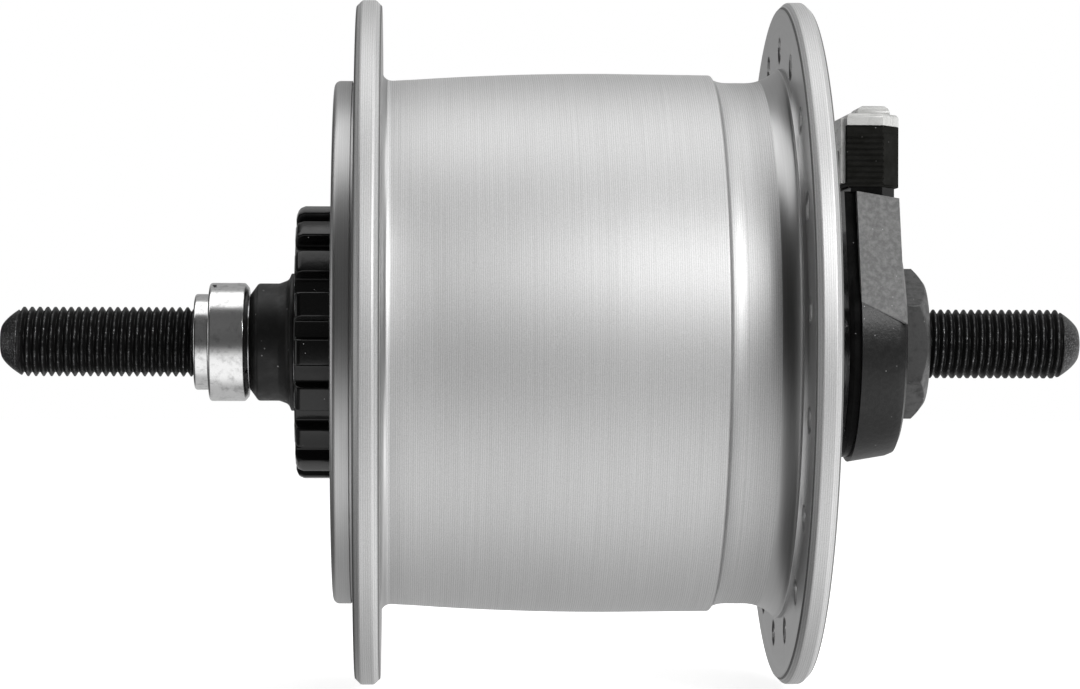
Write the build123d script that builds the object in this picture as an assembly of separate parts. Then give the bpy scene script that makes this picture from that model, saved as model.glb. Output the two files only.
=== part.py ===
from build123d import *
import math
import os

# Hub dynamo for a bicycle front wheel, in millimetres.
# The axle lies along X with its middle at the origin and +Z is up.
# The brake side is at -X and the connector side is at +X.
# The fixed axle carries the claw-pole stator, and the shell turns round it with the magnets.

os.makedirs("parts", exist_ok=True)

# Overall sizes
axle_length = 140.0
thread_diameter = 9.0
left_free_length = 25.0
right_free_length = 20.5
barrel_diameter = 69.8
flange_height = 9.3
spoke_hole_inset = 6.2
spoke_hole_diameter = 2.9
spokes_per_flange = 18
spoke_phase_degrees = 4.0

# Clearances
thread_clearance = 0.05
seat_clearance = 0.02
part_clearance = 0.05
seal_clearance = 0.3
overrun = 2.0

# Axle
axle_body_diameter = 10.4
axle_body_overhang = 1.5
axle_tip_length = 2.2
axle_tip_diameter = 6.4
thread_relief_width = 0.8
thread_relief_depth = 0.3
lead_groove_width = 1.5
lead_groove_floor = 2.9

# Stepped lock nut on the brake side
nose_diameter = 12.4
nose_length = 1.9
nut_body_diameter = 15.3
nut_body_length = 5.1
nose_edge = 0.3
nut_edge = 0.6

# Ball bearings, cup and cone
ball_diameter = 4.7625
ball_circle_diameter = 18.4
balls_per_bearing = 10
ball_sides = 10
ball_band_share = 0.38
ball_pole_share = 0.82
race_clearance = 0.08
race_wrap_degrees = 60.0
race_steps = 2
fillet_steps = 2
cone_nose_length = 1.9
left_cone_length = 12.3
left_cone_neck_diameter = 11.2
left_cone_neck_length = 5.9
right_cone_length = 7.2
cup_diameter = 26.4
cup_half_length = 3.3
cage_thickness = 0.9
cage_wall = 0.6
cage_front_length = 1.7
cage_pocket_clearance = 0.12

# Rubber boot on the brake side cone
boot_end_diameter = 12.2
boot_diameter = 15.2
boot_lip_diameter = 17.8
boot_chamfer_length = 1.1
boot_barrel_length = 2.7
boot_lip_thickness = 0.45
boot_gap = 0.1

# Splined brake carrier
spline_tip_diameter = 35.3
spline_root_diameter = 32.0
spline_teeth = 18
spline_length = 4.8
spline_corner = 1.0
spline_tip_share = 0.5
spline_root_widening = 0.22
spline_web_thickness = 0.85
spline_bore_diameter = 18.6
first_spline_degrees = 14.2

# Shell with the brake side flange
barrel_rise = 1.1
shoulder_length = 2.8
shoulder_edge = 0.8
flange_thickness = 3.3
flange_edge = 0.8
root_fillet = 1.25
barrel_crown_share = 0.33
barrel_step_length = 2.2
crown_middle_share = 0.76
shell_wall = 2.2
magnet_rest_height = 1.8
end_wall_thickness = 3.0
boss_diameter = 32.0
boss_length = 2.5
cup_shoulder_diameter = 22.0

# Shell cap with the connector side flange
flange_beyond_ball = 0.8
cap_neck_length = 7.0
cap_fillet = 3.2
spigot_length = 3.5
spigot_wall = 2.6
cap_wall_thickness = 2.8
dish_depth = 1.4
rim_land = 7.6
dish_bevel = 1.5
cap_boss_end_diameter = 29.2
cap_seal_depth = 1.1
seam_ring_groove_depth = 0.9
seam_ring_width = 1.2

# Magnets and their iron ring
pole_count = 28
magnet_width_share = 0.8
magnet_thickness = 2.8
air_gap = 0.6
iron_ring_wall = 1.6

# Stator
stator_gap = 7.45
claw_thickness = 2.0
claw_root_share = 0.74
claw_tip_share = 0.42
claw_tip_gap = 1.6
yoke_disc_thickness = 2.2
core_diameter = 18.0
bobbin_wall = 1.2
bobbin_clearance = 0.5
coil_inset = 1.1
coil_gap = 0.1
clamp_nut_across_flats = 16.0
clamp_nut_thickness = 3.0
key_length_share = 0.59
key_width = 2.0
key_height = 2.2
key_depth = 1.1

# Connector housing and its inner base
housing_depth = 6.05
housing_diameter = 30.8
housing_face_diameter = 29.2
housing_edge = 1.3
neck_depth = 5.55
neck_lean_degrees = 19.6
neck_draft = 0.95
neck_height = 19.5
neck_top_slope_degrees = 9.0
housing_face_wall = 2.0
pocket_half_width = 5.9
pocket_top_wall = 1.5
base_thickness = 1.45
base_inset = 0.6
base_edge = 0.6
sleeve_diameter = 14.4
shelf_height = 0.55
shelf_inset = 0.55
tongue_half_width = 5.3
tongue_height = 5.0
contact_thickness = 0.5
contact_width = 3.0
contact_spacing = 6.2
contact_foot_height = 9.0

# Plug and its cap
plug_width = 18.4
plug_back_from_base = 0.2
plug_side_depth = 4.6
plug_depth = 7.2
plug_face_width = 10.0
plug_height = 7.1
rib_count = 9
rib_depth = 0.4
rib_margin = 0.25
tongue_clearance = 0.3
wire_hole_diameter = 2.0
cap_top_thickness = 2.25
cap_back_thickness = 0.6
cap_back_width = 16.0
cap_back_drop = 6.7
cap_corner = 0.7
cap_edge = 0.6
wire_slot_width = 3.6
wire_slot_height = 2.4
wire_slot_spacing = 9.6
dome_length = 4.2
dome_width = 8.0
dome_height = 1.3
dome_edge = 1.0
dome_offset = 0.5

# Hexagon lock nut and washer on the connector side
hex_across_flats = 17.0
hex_thickness = 3.4
hex_face_diameter = 16.0
hex_bevel_length = 1.4
hex_turn_degrees = 30.0
washer_thickness = 0.3
washer_diameter = 15.6

# Winding lead
lead_diameter = 1.0
lead_bend_radius = 1.0
lead_sides = 8
lead_start_inset = 1.4
lead_rise = 5.9

# Radii worked out from the sizes above
thread_radius = thread_diameter / 2
nut_bore_radius = thread_radius + thread_clearance
axle_body_radius = axle_body_diameter / 2
core_bore_radius = axle_body_radius + part_clearance
barrel_radius = barrel_diameter / 2
shoulder_radius = barrel_radius - barrel_rise
flange_radius = barrel_radius + flange_height
spoke_circle_radius = flange_radius - spoke_hole_inset
ball_radius = ball_diameter / 2
ball_circle_radius = ball_circle_diameter / 2
race_step_degrees = race_wrap_degrees / race_steps
race_radius = (ball_radius + race_clearance) / math.cos(math.radians(race_step_degrees / 2))
cup_radius = cup_diameter / 2
cup_seat_radius = cup_radius + seat_clearance
boss_radius = boss_diameter / 2
cup_shoulder_radius = cup_shoulder_diameter / 2
race_floor_radius = ball_circle_radius - race_radius
race_roof_radius = ball_circle_radius + race_radius
race_edge_height = race_radius * math.cos(math.radians(race_wrap_degrees))
cone_land_radius = ball_circle_radius - race_edge_height
cup_lip_radius = ball_circle_radius + race_edge_height
seal_bore_radius = cone_land_radius + seal_clearance
shell_bore_radius = shoulder_radius - shell_wall
iron_ring_radius = shell_bore_radius - part_clearance
iron_ring_bore_radius = iron_ring_radius - iron_ring_wall
pole_pitch = 2 * math.pi * iron_ring_bore_radius / pole_count
magnet_width = pole_pitch * magnet_width_share
magnet_corner_radius = iron_ring_bore_radius - seat_clearance
magnet_outer_radius = math.sqrt(magnet_corner_radius**2 - (magnet_width / 2) ** 2)
magnet_inner_radius = magnet_outer_radius - magnet_thickness
claw_root_width = pole_pitch * claw_root_share
claw_tip_width = pole_pitch * claw_tip_share
claw_corner_radius = magnet_inner_radius - air_gap
claw_outer_radius = math.sqrt(claw_corner_radius**2 - (claw_root_width / 2) ** 2)
bobbin_radius = claw_outer_radius - claw_thickness - bobbin_clearance
coil_radius = bobbin_radius - coil_inset

# Places along the axle
axle_half = axle_length / 2
left_face_x = -axle_half + left_free_length
left_cone_x = left_face_x + nose_length + nut_body_length
left_ball_x = left_cone_x + left_cone_length - cone_nose_length
right_face_x = axle_half - right_free_length
washer_x = right_face_x - hex_thickness
housing_face_x = washer_x - washer_thickness
housing_x = housing_face_x - housing_depth
base_x = housing_x - base_thickness
right_ball_x = base_x - right_cone_length + cone_nose_length
spline_x = left_ball_x - cup_half_length - part_clearance - spline_web_thickness
shell_x = spline_x + spline_length
left_flange_x = shell_x + shoulder_length
left_flange_inner_x = left_flange_x + flange_thickness
right_flange_x = right_ball_x + flange_beyond_ball
right_flange_inner_x = right_flange_x - flange_thickness
seam_x = right_flange_inner_x - cap_neck_length
spigot_x = seam_x - spigot_length
cap_boss_x = right_ball_x + cup_half_length + cap_seal_depth
wall_x = shell_x + end_wall_thickness
boss_x = wall_x + boss_length
stator_left_x = boss_x + stator_gap
stator_right_x = spigot_x - part_clearance
magnet_length = stator_right_x - stator_left_x
stator_x = (stator_left_x + stator_right_x) / 2
key_length = magnet_length * key_length_share
coil_space_left_x = stator_left_x + yoke_disc_thickness
coil_space_right_x = stator_right_x - yoke_disc_thickness
axle_body_left_x = stator_left_x - clamp_nut_thickness - axle_body_overhang
axle_body_right_x = stator_right_x + clamp_nut_thickness + axle_body_overhang
pocket_floor_x = housing_face_x - housing_face_wall
contact_x = pocket_floor_x - contact_thickness
lead_height = lead_groove_floor + lead_groove_width / 2
lead_end_x = (housing_x + contact_x) / 2


def turned(*stations):
    """Solid turned about the axle from (x, radius) stations.

    A station that starts with "via" is a point that an arc passes through on its
    way to the next station.
    """
    edges = []
    here = stations[0]
    via = None
    for station in stations[1:] + stations[:1]:
        if station[0] == "via":
            via = station[1:]
            continue
        edges.append(ThreePointArc(here, via, station) if via else Line(here, station))
        here, via = station, None
    return revolve(make_face(edges), axis=Axis.X)


def sweep_points(centre, reach, first_degrees, last_degrees, steps):
    """Stations round part of an ellipse, from its centre and its two reaches."""
    points = []
    for index in range(steps + 1):
        angle = math.radians(first_degrees + (last_degrees - first_degrees) * index / steps)
        x = centre[0] + reach[0] * math.cos(angle)
        points.append((x, centre[1] + reach[1] * math.sin(angle)))
    return points


def ring(start_x, end_x, bore, radius):
    """Plain ring between two places along the axle."""
    return turned((start_x, bore), (start_x, radius), (end_x, radius), (end_x, bore))


def block(low_x, high_x, low_y, high_y, low_z, high_z):
    """Box between named limits."""
    size = (high_x - low_x, high_y - low_y, high_z - low_z)
    middle = ((low_x + high_x) / 2, (low_y + high_y) / 2, (low_z + high_z) / 2)
    return Pos(*middle) * Box(*size)


def around(piece, count, first_degrees=0.0):
    """Copies of a piece spaced evenly about the axle."""
    step = 360.0 / count
    return [Rot(first_degrees + step * index, 0, 0) * piece for index in range(count)]


def hexagon(start_x, across_flats, thickness):
    """Hexagon prism that stands on the axle at one place."""
    outline = RegularPolygon(across_flats / 2, 6, major_radius=False)
    return extrude(Plane.YZ.offset(start_x) * outline, amount=thickness)


def along_x(points, start_x, end_x):
    """Prism along the axle from (y, z) points."""
    section = make_face(Polyline(*[(start_x, y, z) for y, z in points], close=True))
    return extrude(section, amount=end_x - start_x, dir=(1, 0, 0))


def race(centre_x, outboard, inner):
    """Stations of a ball race, from its edge to straight under or over the ball.

    The inner race climbs on the outboard side and the outer one on the inboard side.
    """
    side = outboard if inner else -outboard
    facing = -1 if inner else 1
    return sweep_points(
        (centre_x, ball_circle_radius),
        (side * race_radius, facing * race_radius),
        90 - race_wrap_degrees,
        90,
        race_steps,
    )


def save(name, piece):
    """Write one named sub-part, checked for its solids."""
    solids = piece if isinstance(piece, list) else piece.solids()
    for solid in solids:
        solid.label = name
    export_step(Compound(children=[Solid(s.wrapped) for s in solids]), f"parts/{name}.step")


def make_axle():
    """Threaded axle with its thicker middle, lead groove and keyway."""
    tip_radius = axle_tip_diameter / 2
    relief_radius = thread_radius - thread_relief_depth
    tip_x = axle_half - axle_tip_length
    tip_rise = thread_radius - tip_radius
    axle = turned(
        (-axle_half, 0),
        *sweep_points((-tip_x, tip_radius), (-axle_tip_length, tip_rise), 0, 90, fillet_steps),
        (left_face_x, thread_radius),
        (left_face_x, relief_radius),
        (left_face_x + thread_relief_width, relief_radius),
        (left_face_x + thread_relief_width, thread_radius),
        (axle_body_left_x, thread_radius),
        (axle_body_left_x, axle_body_radius),
        (axle_body_right_x, axle_body_radius),
        (axle_body_right_x, thread_radius),
        (right_face_x - thread_relief_width, thread_radius),
        (right_face_x - thread_relief_width, relief_radius),
        (right_face_x, relief_radius),
        (right_face_x, thread_radius),
        *sweep_points((tip_x, tip_radius), (axle_tip_length, tip_rise), 90, 0, fillet_steps),
        (axle_half, 0),
    )
    half_groove = lead_groove_width / 2
    groove = block(
        coil_space_right_x,
        lead_end_x + lead_groove_width,
        -half_groove,
        half_groove,
        lead_groove_floor,
        axle_body_diameter,
    )
    half_key = key_width / 2 + part_clearance
    keyway = block(
        stator_x - key_length / 2,
        stator_x + key_length / 2,
        -half_key,
        half_key,
        -axle_body_diameter,
        -axle_body_radius + key_depth,
    )
    return axle - groove - keyway


def make_left_lock_nut():
    """Stepped lock nut: a small nose outside and a larger body against the cone."""
    nose_radius = nose_diameter / 2
    body_radius = nut_body_diameter / 2
    step_x = left_face_x + nose_length
    return turned(
        (left_face_x, nut_bore_radius),
        (left_face_x, nose_radius - nose_edge),
        (left_face_x + nose_edge, nose_radius),
        (step_x, nose_radius),
        (step_x, body_radius - nose_edge),
        (step_x + nose_edge, body_radius),
        (left_cone_x - nut_edge, body_radius),
        (left_cone_x, body_radius - nut_edge),
        (left_cone_x, nut_bore_radius),
    )


def make_boot():
    """Rubber boot round the neck of the brake side cone, flared to its lip."""
    bore = left_cone_neck_diameter / 2 + part_clearance
    radius = boot_diameter / 2
    lip_radius = boot_lip_diameter / 2
    start_x = left_cone_x + boot_gap
    chamfer_x = start_x + boot_chamfer_length
    flare_x = chamfer_x + boot_barrel_length
    end_x = left_cone_x + left_cone_neck_length
    lip_x = end_x - boot_lip_thickness
    flare_reach = (lip_x - flare_x, radius - lip_radius)
    return turned(
        (start_x, bore),
        (start_x, boot_end_diameter / 2),
        (chamfer_x, radius),
        *sweep_points((flare_x, lip_radius), flare_reach, 90, 0, fillet_steps),
        (end_x, lip_radius),
        (end_x, bore),
    )


def make_left_cone():
    """Brake side cone: a slim neck for the boot, a land for the seal and the race."""
    neck_radius = left_cone_neck_diameter / 2
    neck_end_x = left_cone_x + left_cone_neck_length
    return turned(
        (left_cone_x, nut_bore_radius),
        (left_cone_x, neck_radius),
        (neck_end_x, neck_radius),
        (neck_end_x, cone_land_radius),
        *race(left_ball_x, -1, True),
        (left_ball_x + cone_nose_length, race_floor_radius),
        (left_ball_x + cone_nose_length, nut_bore_radius),
    )


def make_right_cone():
    """Connector side cone: the seal runs on its land, next to the race."""
    return turned(
        (base_x, nut_bore_radius),
        (base_x, cone_land_radius),
        *race(right_ball_x, 1, True),
        (right_ball_x - cone_nose_length, race_floor_radius),
        (right_ball_x - cone_nose_length, nut_bore_radius),
    )


def make_cup(centre_x, outboard):
    """Hardened bearing cup pressed into the shell."""
    return turned(
        (centre_x - outboard * cup_half_length, cup_radius),
        (centre_x - outboard * cup_half_length, cup_lip_radius),
        *race(centre_x, outboard, False),
        (centre_x + outboard * cup_half_length, race_roof_radius),
        (centre_x + outboard * cup_half_length, cup_radius),
    )


def make_ball():
    """One bearing ball, faceted, centred on its place at the top of the ball circle."""
    band = ball_radius * ball_band_share
    pole = ball_radius * ball_pole_share
    girth = math.sqrt(ball_radius**2 - band**2)
    slope = (girth - math.sqrt(ball_radius**2 - pole**2)) * math.cos(math.pi / ball_sides)
    taper = math.degrees(math.atan2(slope, pole - band))
    belt = extrude(RegularPolygon(girth, ball_sides), amount=band, both=True)
    end = extrude(Pos(0, 0, band) * RegularPolygon(girth, ball_sides), amount=pole - band, taper=taper)
    return Pos(0, 0, ball_circle_radius) * (belt + end + mirror(end, about=Plane.XY))


def make_cage(centre_x, outboard):
    """Ring with open pockets that spaces the balls, closed on its outboard side."""
    bore = ball_circle_radius - cage_thickness / 2
    radius = ball_circle_radius + cage_thickness / 2
    pocket_radius = ball_radius + cage_pocket_clearance
    back_x = centre_x + outboard * (pocket_radius + cage_wall)
    front_x = centre_x - outboard * cage_front_length
    corner = pocket_radius * math.tan(math.pi / 8)
    mouth_x = front_x - outboard * overrun
    pocket_back_x = centre_x + outboard * pocket_radius
    outline = [
        (mouth_x, -pocket_radius),
        (centre_x + outboard * corner, -pocket_radius),
        (pocket_back_x, -corner),
        (pocket_back_x, corner),
        (centre_x + outboard * corner, pocket_radius),
        (mouth_x, pocket_radius),
    ]
    pocket = extrude(make_face(Polyline(*outline, close=True)), amount=radius + overrun)
    return ring(back_x, front_x, bore, radius) - around(pocket, balls_per_bearing)


def make_spline_ring():
    """Splined carrier for the brake: straight teeth on a hub with a web over the cup."""
    tip_radius = spline_tip_diameter / 2
    root_radius = spline_root_diameter / 2
    bore = cup_seat_radius
    web_bore = spline_bore_diameter / 2
    web_x = spline_x + spline_web_thickness
    carrier = turned(
        (spline_x, web_bore),
        (spline_x, root_radius),
        (shell_x, root_radius),
        (shell_x, bore),
        (web_x, bore),
        (web_x, web_bore),
    )
    half_tip = tip_radius * math.sin(math.pi / spline_teeth * spline_tip_share)
    half_root = half_tip + spline_root_widening
    sunk_radius = root_radius - spline_web_thickness
    tooth_outline = [
        (-half_root, sunk_radius),
        (-half_tip, tip_radius + spline_corner),
        (half_tip, tip_radius + spline_corner),
        (half_root, sunk_radius),
    ]
    tooth = along_x(tooth_outline, spline_x, shell_x)
    corner_centre = (spline_x + spline_corner, tip_radius - spline_corner)
    envelope = turned(
        (spline_x, web_bore),
        *sweep_points(corner_centre, (-spline_corner, spline_corner), 0, 90, fillet_steps),
        (shell_x, tip_radius),
        (shell_x, web_bore),
    )
    teeth = Part() + around(tooth, spline_teeth, first_spline_degrees)
    return carrier + (teeth & envelope)


def spoke_holes(start_x, end_x, first_degrees):
    """Cutters for the spoke holes of one flange."""
    hole = Pos((start_x + end_x) / 2, 0, spoke_circle_radius) * Rot(0, 90, 0)
    cutter = hole * Cylinder(spoke_hole_diameter / 2, end_x - start_x)
    return around(cutter, spokes_per_flange, first_degrees)


def make_hub_shell():
    """Turned shell: end wall, brake side flange and crowned barrel, open at the far end."""
    barrel_start_x = left_flange_inner_x + root_fillet
    step_x = seam_x - barrel_step_length
    crown_x = step_x - (step_x - barrel_start_x) * barrel_crown_share
    crown_middle = shoulder_radius + barrel_rise * crown_middle_share
    inner_bore = shell_bore_radius - magnet_rest_height
    cup_stop_x = left_ball_x + cup_half_length
    root_reach = (-root_fillet, -root_fillet)
    step_reach = (-barrel_step_length, -barrel_rise)
    shell = turned(
        (shell_x, cup_seat_radius),
        (shell_x, shoulder_radius - shoulder_edge),
        (shell_x + shoulder_edge, shoulder_radius),
        (left_flange_x, shoulder_radius),
        (left_flange_x, flange_radius - flange_edge),
        (left_flange_x + flange_edge, flange_radius),
        (left_flange_inner_x - flange_edge, flange_radius),
        (left_flange_inner_x, flange_radius - flange_edge),
        *sweep_points((barrel_start_x, shoulder_radius + root_fillet), root_reach, 0, 90, fillet_steps),
        ("via", (barrel_start_x + crown_x) / 2, crown_middle),
        (crown_x, barrel_radius),
        *sweep_points((seam_x, barrel_radius), step_reach, 0, 90, fillet_steps),
        (seam_x, shell_bore_radius),
        (stator_left_x, shell_bore_radius),
        (stator_left_x, inner_bore),
        (wall_x, inner_bore),
        (wall_x, boss_radius),
        (boss_x, boss_radius),
        (boss_x, cup_shoulder_radius),
        (cup_stop_x, cup_shoulder_radius),
        (cup_stop_x, cup_seat_radius),
    )
    first_hole = spoke_phase_degrees + 180.0 / spokes_per_flange
    holes = spoke_holes(left_flange_x - overrun / 2, left_flange_inner_x + overrun / 2, first_hole)
    return shell - holes


def make_shell_cap():
    """Turned cap with the connector side flange, bearing boss and a spigot into the shell."""
    spigot_radius = shell_bore_radius - seat_clearance
    spigot_bore = spigot_radius - spigot_wall
    groove_x = seam_x - (spigot_length + seam_ring_width) / 2
    dish_x = right_flange_x - dish_depth
    cap_wall_x = dish_x - cap_wall_thickness
    dish_radius = flange_radius - rim_land
    cup_stop_x = right_ball_x - cup_half_length
    fillet_x = right_flange_inner_x - cap_fillet
    fillet_reach = (cap_fillet, -cap_fillet)
    cap = turned(
        (spigot_x, spigot_bore),
        (spigot_x, spigot_radius),
        (groove_x, spigot_radius),
        (groove_x, spigot_radius - seam_ring_groove_depth),
        (groove_x + seam_ring_width, spigot_radius - seam_ring_groove_depth),
        (groove_x + seam_ring_width, spigot_radius),
        (seam_x, spigot_radius),
        (seam_x, shoulder_radius),
        *sweep_points((fillet_x, shoulder_radius + cap_fillet), fillet_reach, 90, 0, 2 * fillet_steps),
        (right_flange_inner_x, flange_radius - flange_edge),
        (right_flange_inner_x + flange_edge, flange_radius),
        (right_flange_x - flange_edge, flange_radius),
        (right_flange_x, flange_radius - flange_edge),
        (right_flange_x, dish_radius),
        (dish_x, dish_radius - dish_bevel),
        (dish_x, boss_radius),
        (cap_boss_x, cap_boss_end_diameter / 2),
        (cap_boss_x, cup_seat_radius),
        (cup_stop_x, cup_seat_radius),
        (cup_stop_x, cup_shoulder_radius),
        (cup_stop_x - boss_length, cup_shoulder_radius),
        (cup_stop_x - boss_length, boss_radius),
        (cap_wall_x, boss_radius),
        (cap_wall_x, spigot_bore),
    )
    start_x = right_flange_inner_x - overrun / 2
    holes = spoke_holes(start_x, right_flange_x + overrun / 2, spoke_phase_degrees)
    return cap - holes


def make_magnets():
    """Flat bar magnets, one for each pole, standing round the inside of the iron ring."""
    magnet = block(
        stator_left_x,
        stator_right_x,
        -magnet_width / 2,
        magnet_width / 2,
        magnet_inner_radius,
        magnet_outer_radius,
    )
    return around(magnet, pole_count)


def make_claw_yoke(disc_x, inward, first_degrees):
    """Stator pole piece: a disc whose tapered claws bend over the coil."""
    inner_radius = claw_outer_radius - claw_thickness
    inner_x = disc_x + inward * yoke_disc_thickness
    tip_x = disc_x + inward * (magnet_length - yoke_disc_thickness - claw_tip_gap)
    claw_outline = [
        (disc_x, -claw_root_width / 2),
        (tip_x, -claw_tip_width / 2),
        (tip_x, claw_tip_width / 2),
        (disc_x, claw_root_width / 2),
    ]
    plane = Plane.XY.offset(inner_radius)
    claw = extrude(plane * make_face(Polyline(*claw_outline, close=True)), amount=claw_thickness)
    root = block(
        min(disc_x, inner_x),
        max(disc_x, inner_x),
        -claw_root_width / 2,
        claw_root_width / 2,
        inner_radius - claw_root_width,
        inner_radius,
    )
    disc_face = Plane.YZ.offset(disc_x) * RegularPolygon(inner_radius, pole_count)
    disc = extrude(disc_face, amount=yoke_disc_thickness * inward)
    yoke = disc + around(claw + root, pole_count // 2, first_degrees)
    half_slot = lead_groove_width / 2
    slot_top = core_diameter / 2 + bobbin_wall + coil_gap + lead_start_inset + lead_diameter
    slot = block(
        min(disc_x, inner_x) - overrun / 2,
        max(disc_x, inner_x) + overrun / 2,
        -half_slot,
        half_slot,
        0,
        slot_top,
    )
    bore = ring(disc_x - overrun * 2, disc_x + overrun * 2, 0, core_bore_radius)
    return yoke - bore - slot


def make_stator_core():
    """Iron core between the two pole pieces, with its keyway."""
    half_key = key_width / 2 + part_clearance
    keyway = block(
        stator_x - key_length / 2,
        stator_x + key_length / 2,
        -half_key,
        half_key,
        -axle_body_radius - key_height,
        0,
    )
    core = ring(coil_space_left_x, coil_space_right_x, core_bore_radius, core_diameter / 2)
    return core - keyway


def make_bobbin():
    """Plastic bobbin with a notch where the lead leaves the winding."""
    bore = core_diameter / 2 + part_clearance
    tube_radius = bore + bobbin_wall
    start_x = coil_space_left_x + part_clearance
    end_x = coil_space_right_x - part_clearance
    bobbin = turned(
        (start_x, bore),
        (start_x, bobbin_radius),
        (start_x + bobbin_wall, bobbin_radius),
        (start_x + bobbin_wall, tube_radius),
        (end_x - bobbin_wall, tube_radius),
        (end_x - bobbin_wall, bobbin_radius),
        (end_x, bobbin_radius),
        (end_x, bore),
    )
    half_notch = lead_groove_width / 2
    notch = block(
        end_x - bobbin_wall - coil_gap / 2,
        end_x + overrun,
        -half_notch,
        half_notch,
        tube_radius + coil_gap,
        tube_radius + coil_gap + lead_start_inset + lead_diameter,
    )
    return bobbin - notch


def make_coil():
    """Copper winding between the bobbin's flanges."""
    start_x = coil_space_left_x + part_clearance + bobbin_wall + coil_gap
    end_x = coil_space_right_x - part_clearance - bobbin_wall - coil_gap
    bore = core_diameter / 2 + part_clearance + bobbin_wall + coil_gap
    return ring(start_x, end_x, bore, coil_radius)


def make_clamp_nuts():
    """Pair of hexagon nuts that clamp the stator on the thick middle of the axle."""
    bore = ring(-axle_half, axle_half, 0, core_bore_radius)
    places = (stator_left_x - clamp_nut_thickness, stator_right_x)
    return [hexagon(x, clamp_nut_across_flats, clamp_nut_thickness) - bore for x in places]


def make_key():
    """Key that stops the stator from turning on the axle."""
    return block(
        stator_x - key_length / 2 + part_clearance,
        stator_x + key_length / 2 - part_clearance,
        -key_width / 2,
        key_width / 2,
        -axle_body_radius + key_depth - key_height,
        -axle_body_radius + key_depth - part_clearance,
    )


def neck_side(distance, radius, height):
    """Corner points of the neck at one depth: (y, z) at its foot and at its top.

    The side is a line at a distance from the axis, leaning in towards the top, and
    its foot is where the line meets the round of the housing.
    """
    lean = math.radians(neck_lean_degrees)
    foot_angle = lean - math.acos(min(1.0, distance / radius))
    foot = (radius * math.cos(foot_angle), radius * math.sin(foot_angle))
    top = ((distance - height * math.sin(lean)) / math.cos(lean), height)
    return foot, top


def neck(start_x, end_x, start_radius, end_radius, draft, height):
    """Neck with flat sides that converge from the round housing up to the plug."""
    sections = []
    for x, radius, distance in (
        (start_x, start_radius, start_radius),
        (end_x, end_radius, start_radius - draft),
    ):
        foot, top = neck_side(distance, radius, height)
        outline = [(-foot[0], foot[1]), (-top[0], top[1]), top, foot, (0, 0)]
        sections.append(make_face(Polyline(*[(x, y, z) for y, z in outline], close=True)))
    return loft(sections, ruled=True)


def make_housing():
    """Moulded connector housing: a tapered disc with a flat-sided neck, hollow inside."""
    radius = housing_diameter / 2
    face_radius = housing_face_diameter / 2
    neck_x = housing_x + neck_depth
    neck_radius = radius - (radius - face_radius) * neck_depth / housing_depth
    edge_centre = (housing_face_x - housing_edge, face_radius - housing_edge)
    disc = turned(
        (housing_x, nut_bore_radius + part_clearance),
        (housing_x, radius),
        *sweep_points(edge_centre, (housing_edge, housing_edge), 90, 0, fillet_steps),
        (housing_face_x, nut_bore_radius + part_clearance),
    )
    bore = ring(housing_x - overrun, housing_face_x + overrun, 0, nut_bore_radius + part_clearance)
    upright = neck(housing_x, neck_x, radius, neck_radius, neck_draft, neck_height + overrun)
    drop = (neck_x - housing_x + overrun) * math.tan(math.radians(neck_top_slope_degrees))
    top_outline = [
        (housing_x - overrun, neck_height),
        (housing_x, neck_height),
        (neck_x + overrun, neck_height - drop),
        (neck_x + overrun, neck_height + 2 * overrun),
        (housing_x - overrun, neck_height + 2 * overrun),
    ]
    top_face = make_face(Polyline(*[(x, 0, z) for x, z in top_outline], close=True))
    top_cut = extrude(top_face, amount=housing_diameter, both=True)
    body = disc + (upright - bore - top_cut)
    round_pocket = ring(housing_x - overrun, pocket_floor_x, 0, sleeve_diameter / 2 + part_clearance)
    neck_pocket = block(
        housing_x - overrun,
        pocket_floor_x,
        -pocket_half_width,
        pocket_half_width,
        0,
        neck_height - pocket_top_wall,
    )
    slots = [
        block(
            contact_x - part_clearance,
            pocket_floor_x + part_clearance,
            y - contact_width / 2 - part_clearance,
            y + contact_width / 2 + part_clearance,
            neck_height - pocket_top_wall - overrun,
            neck_height + overrun,
        )
        for y in contact_places()
    ]
    return body - round_pocket - neck_pocket - slots


def contact_places():
    """Places of the two contacts across the neck: earth first, then signal."""
    return (-contact_spacing / 2, contact_spacing / 2)


def plug_outline(width, grow=0.0):
    """Plan of the plug, with its two cut-off outer corners."""
    back_x = base_x + plug_back_from_base - grow
    side_x = base_x + plug_back_from_base + plug_side_depth
    face_x = base_x + plug_back_from_base + plug_depth + grow
    half_width = width / 2 + grow
    half_face = plug_face_width / 2
    points = [
        (back_x, -half_width),
        (side_x, -half_width),
        (face_x, -half_face),
        (face_x, half_face),
        (side_x, half_width),
        (back_x, half_width),
    ]
    return make_face(Polyline(*points, close=True))


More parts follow.
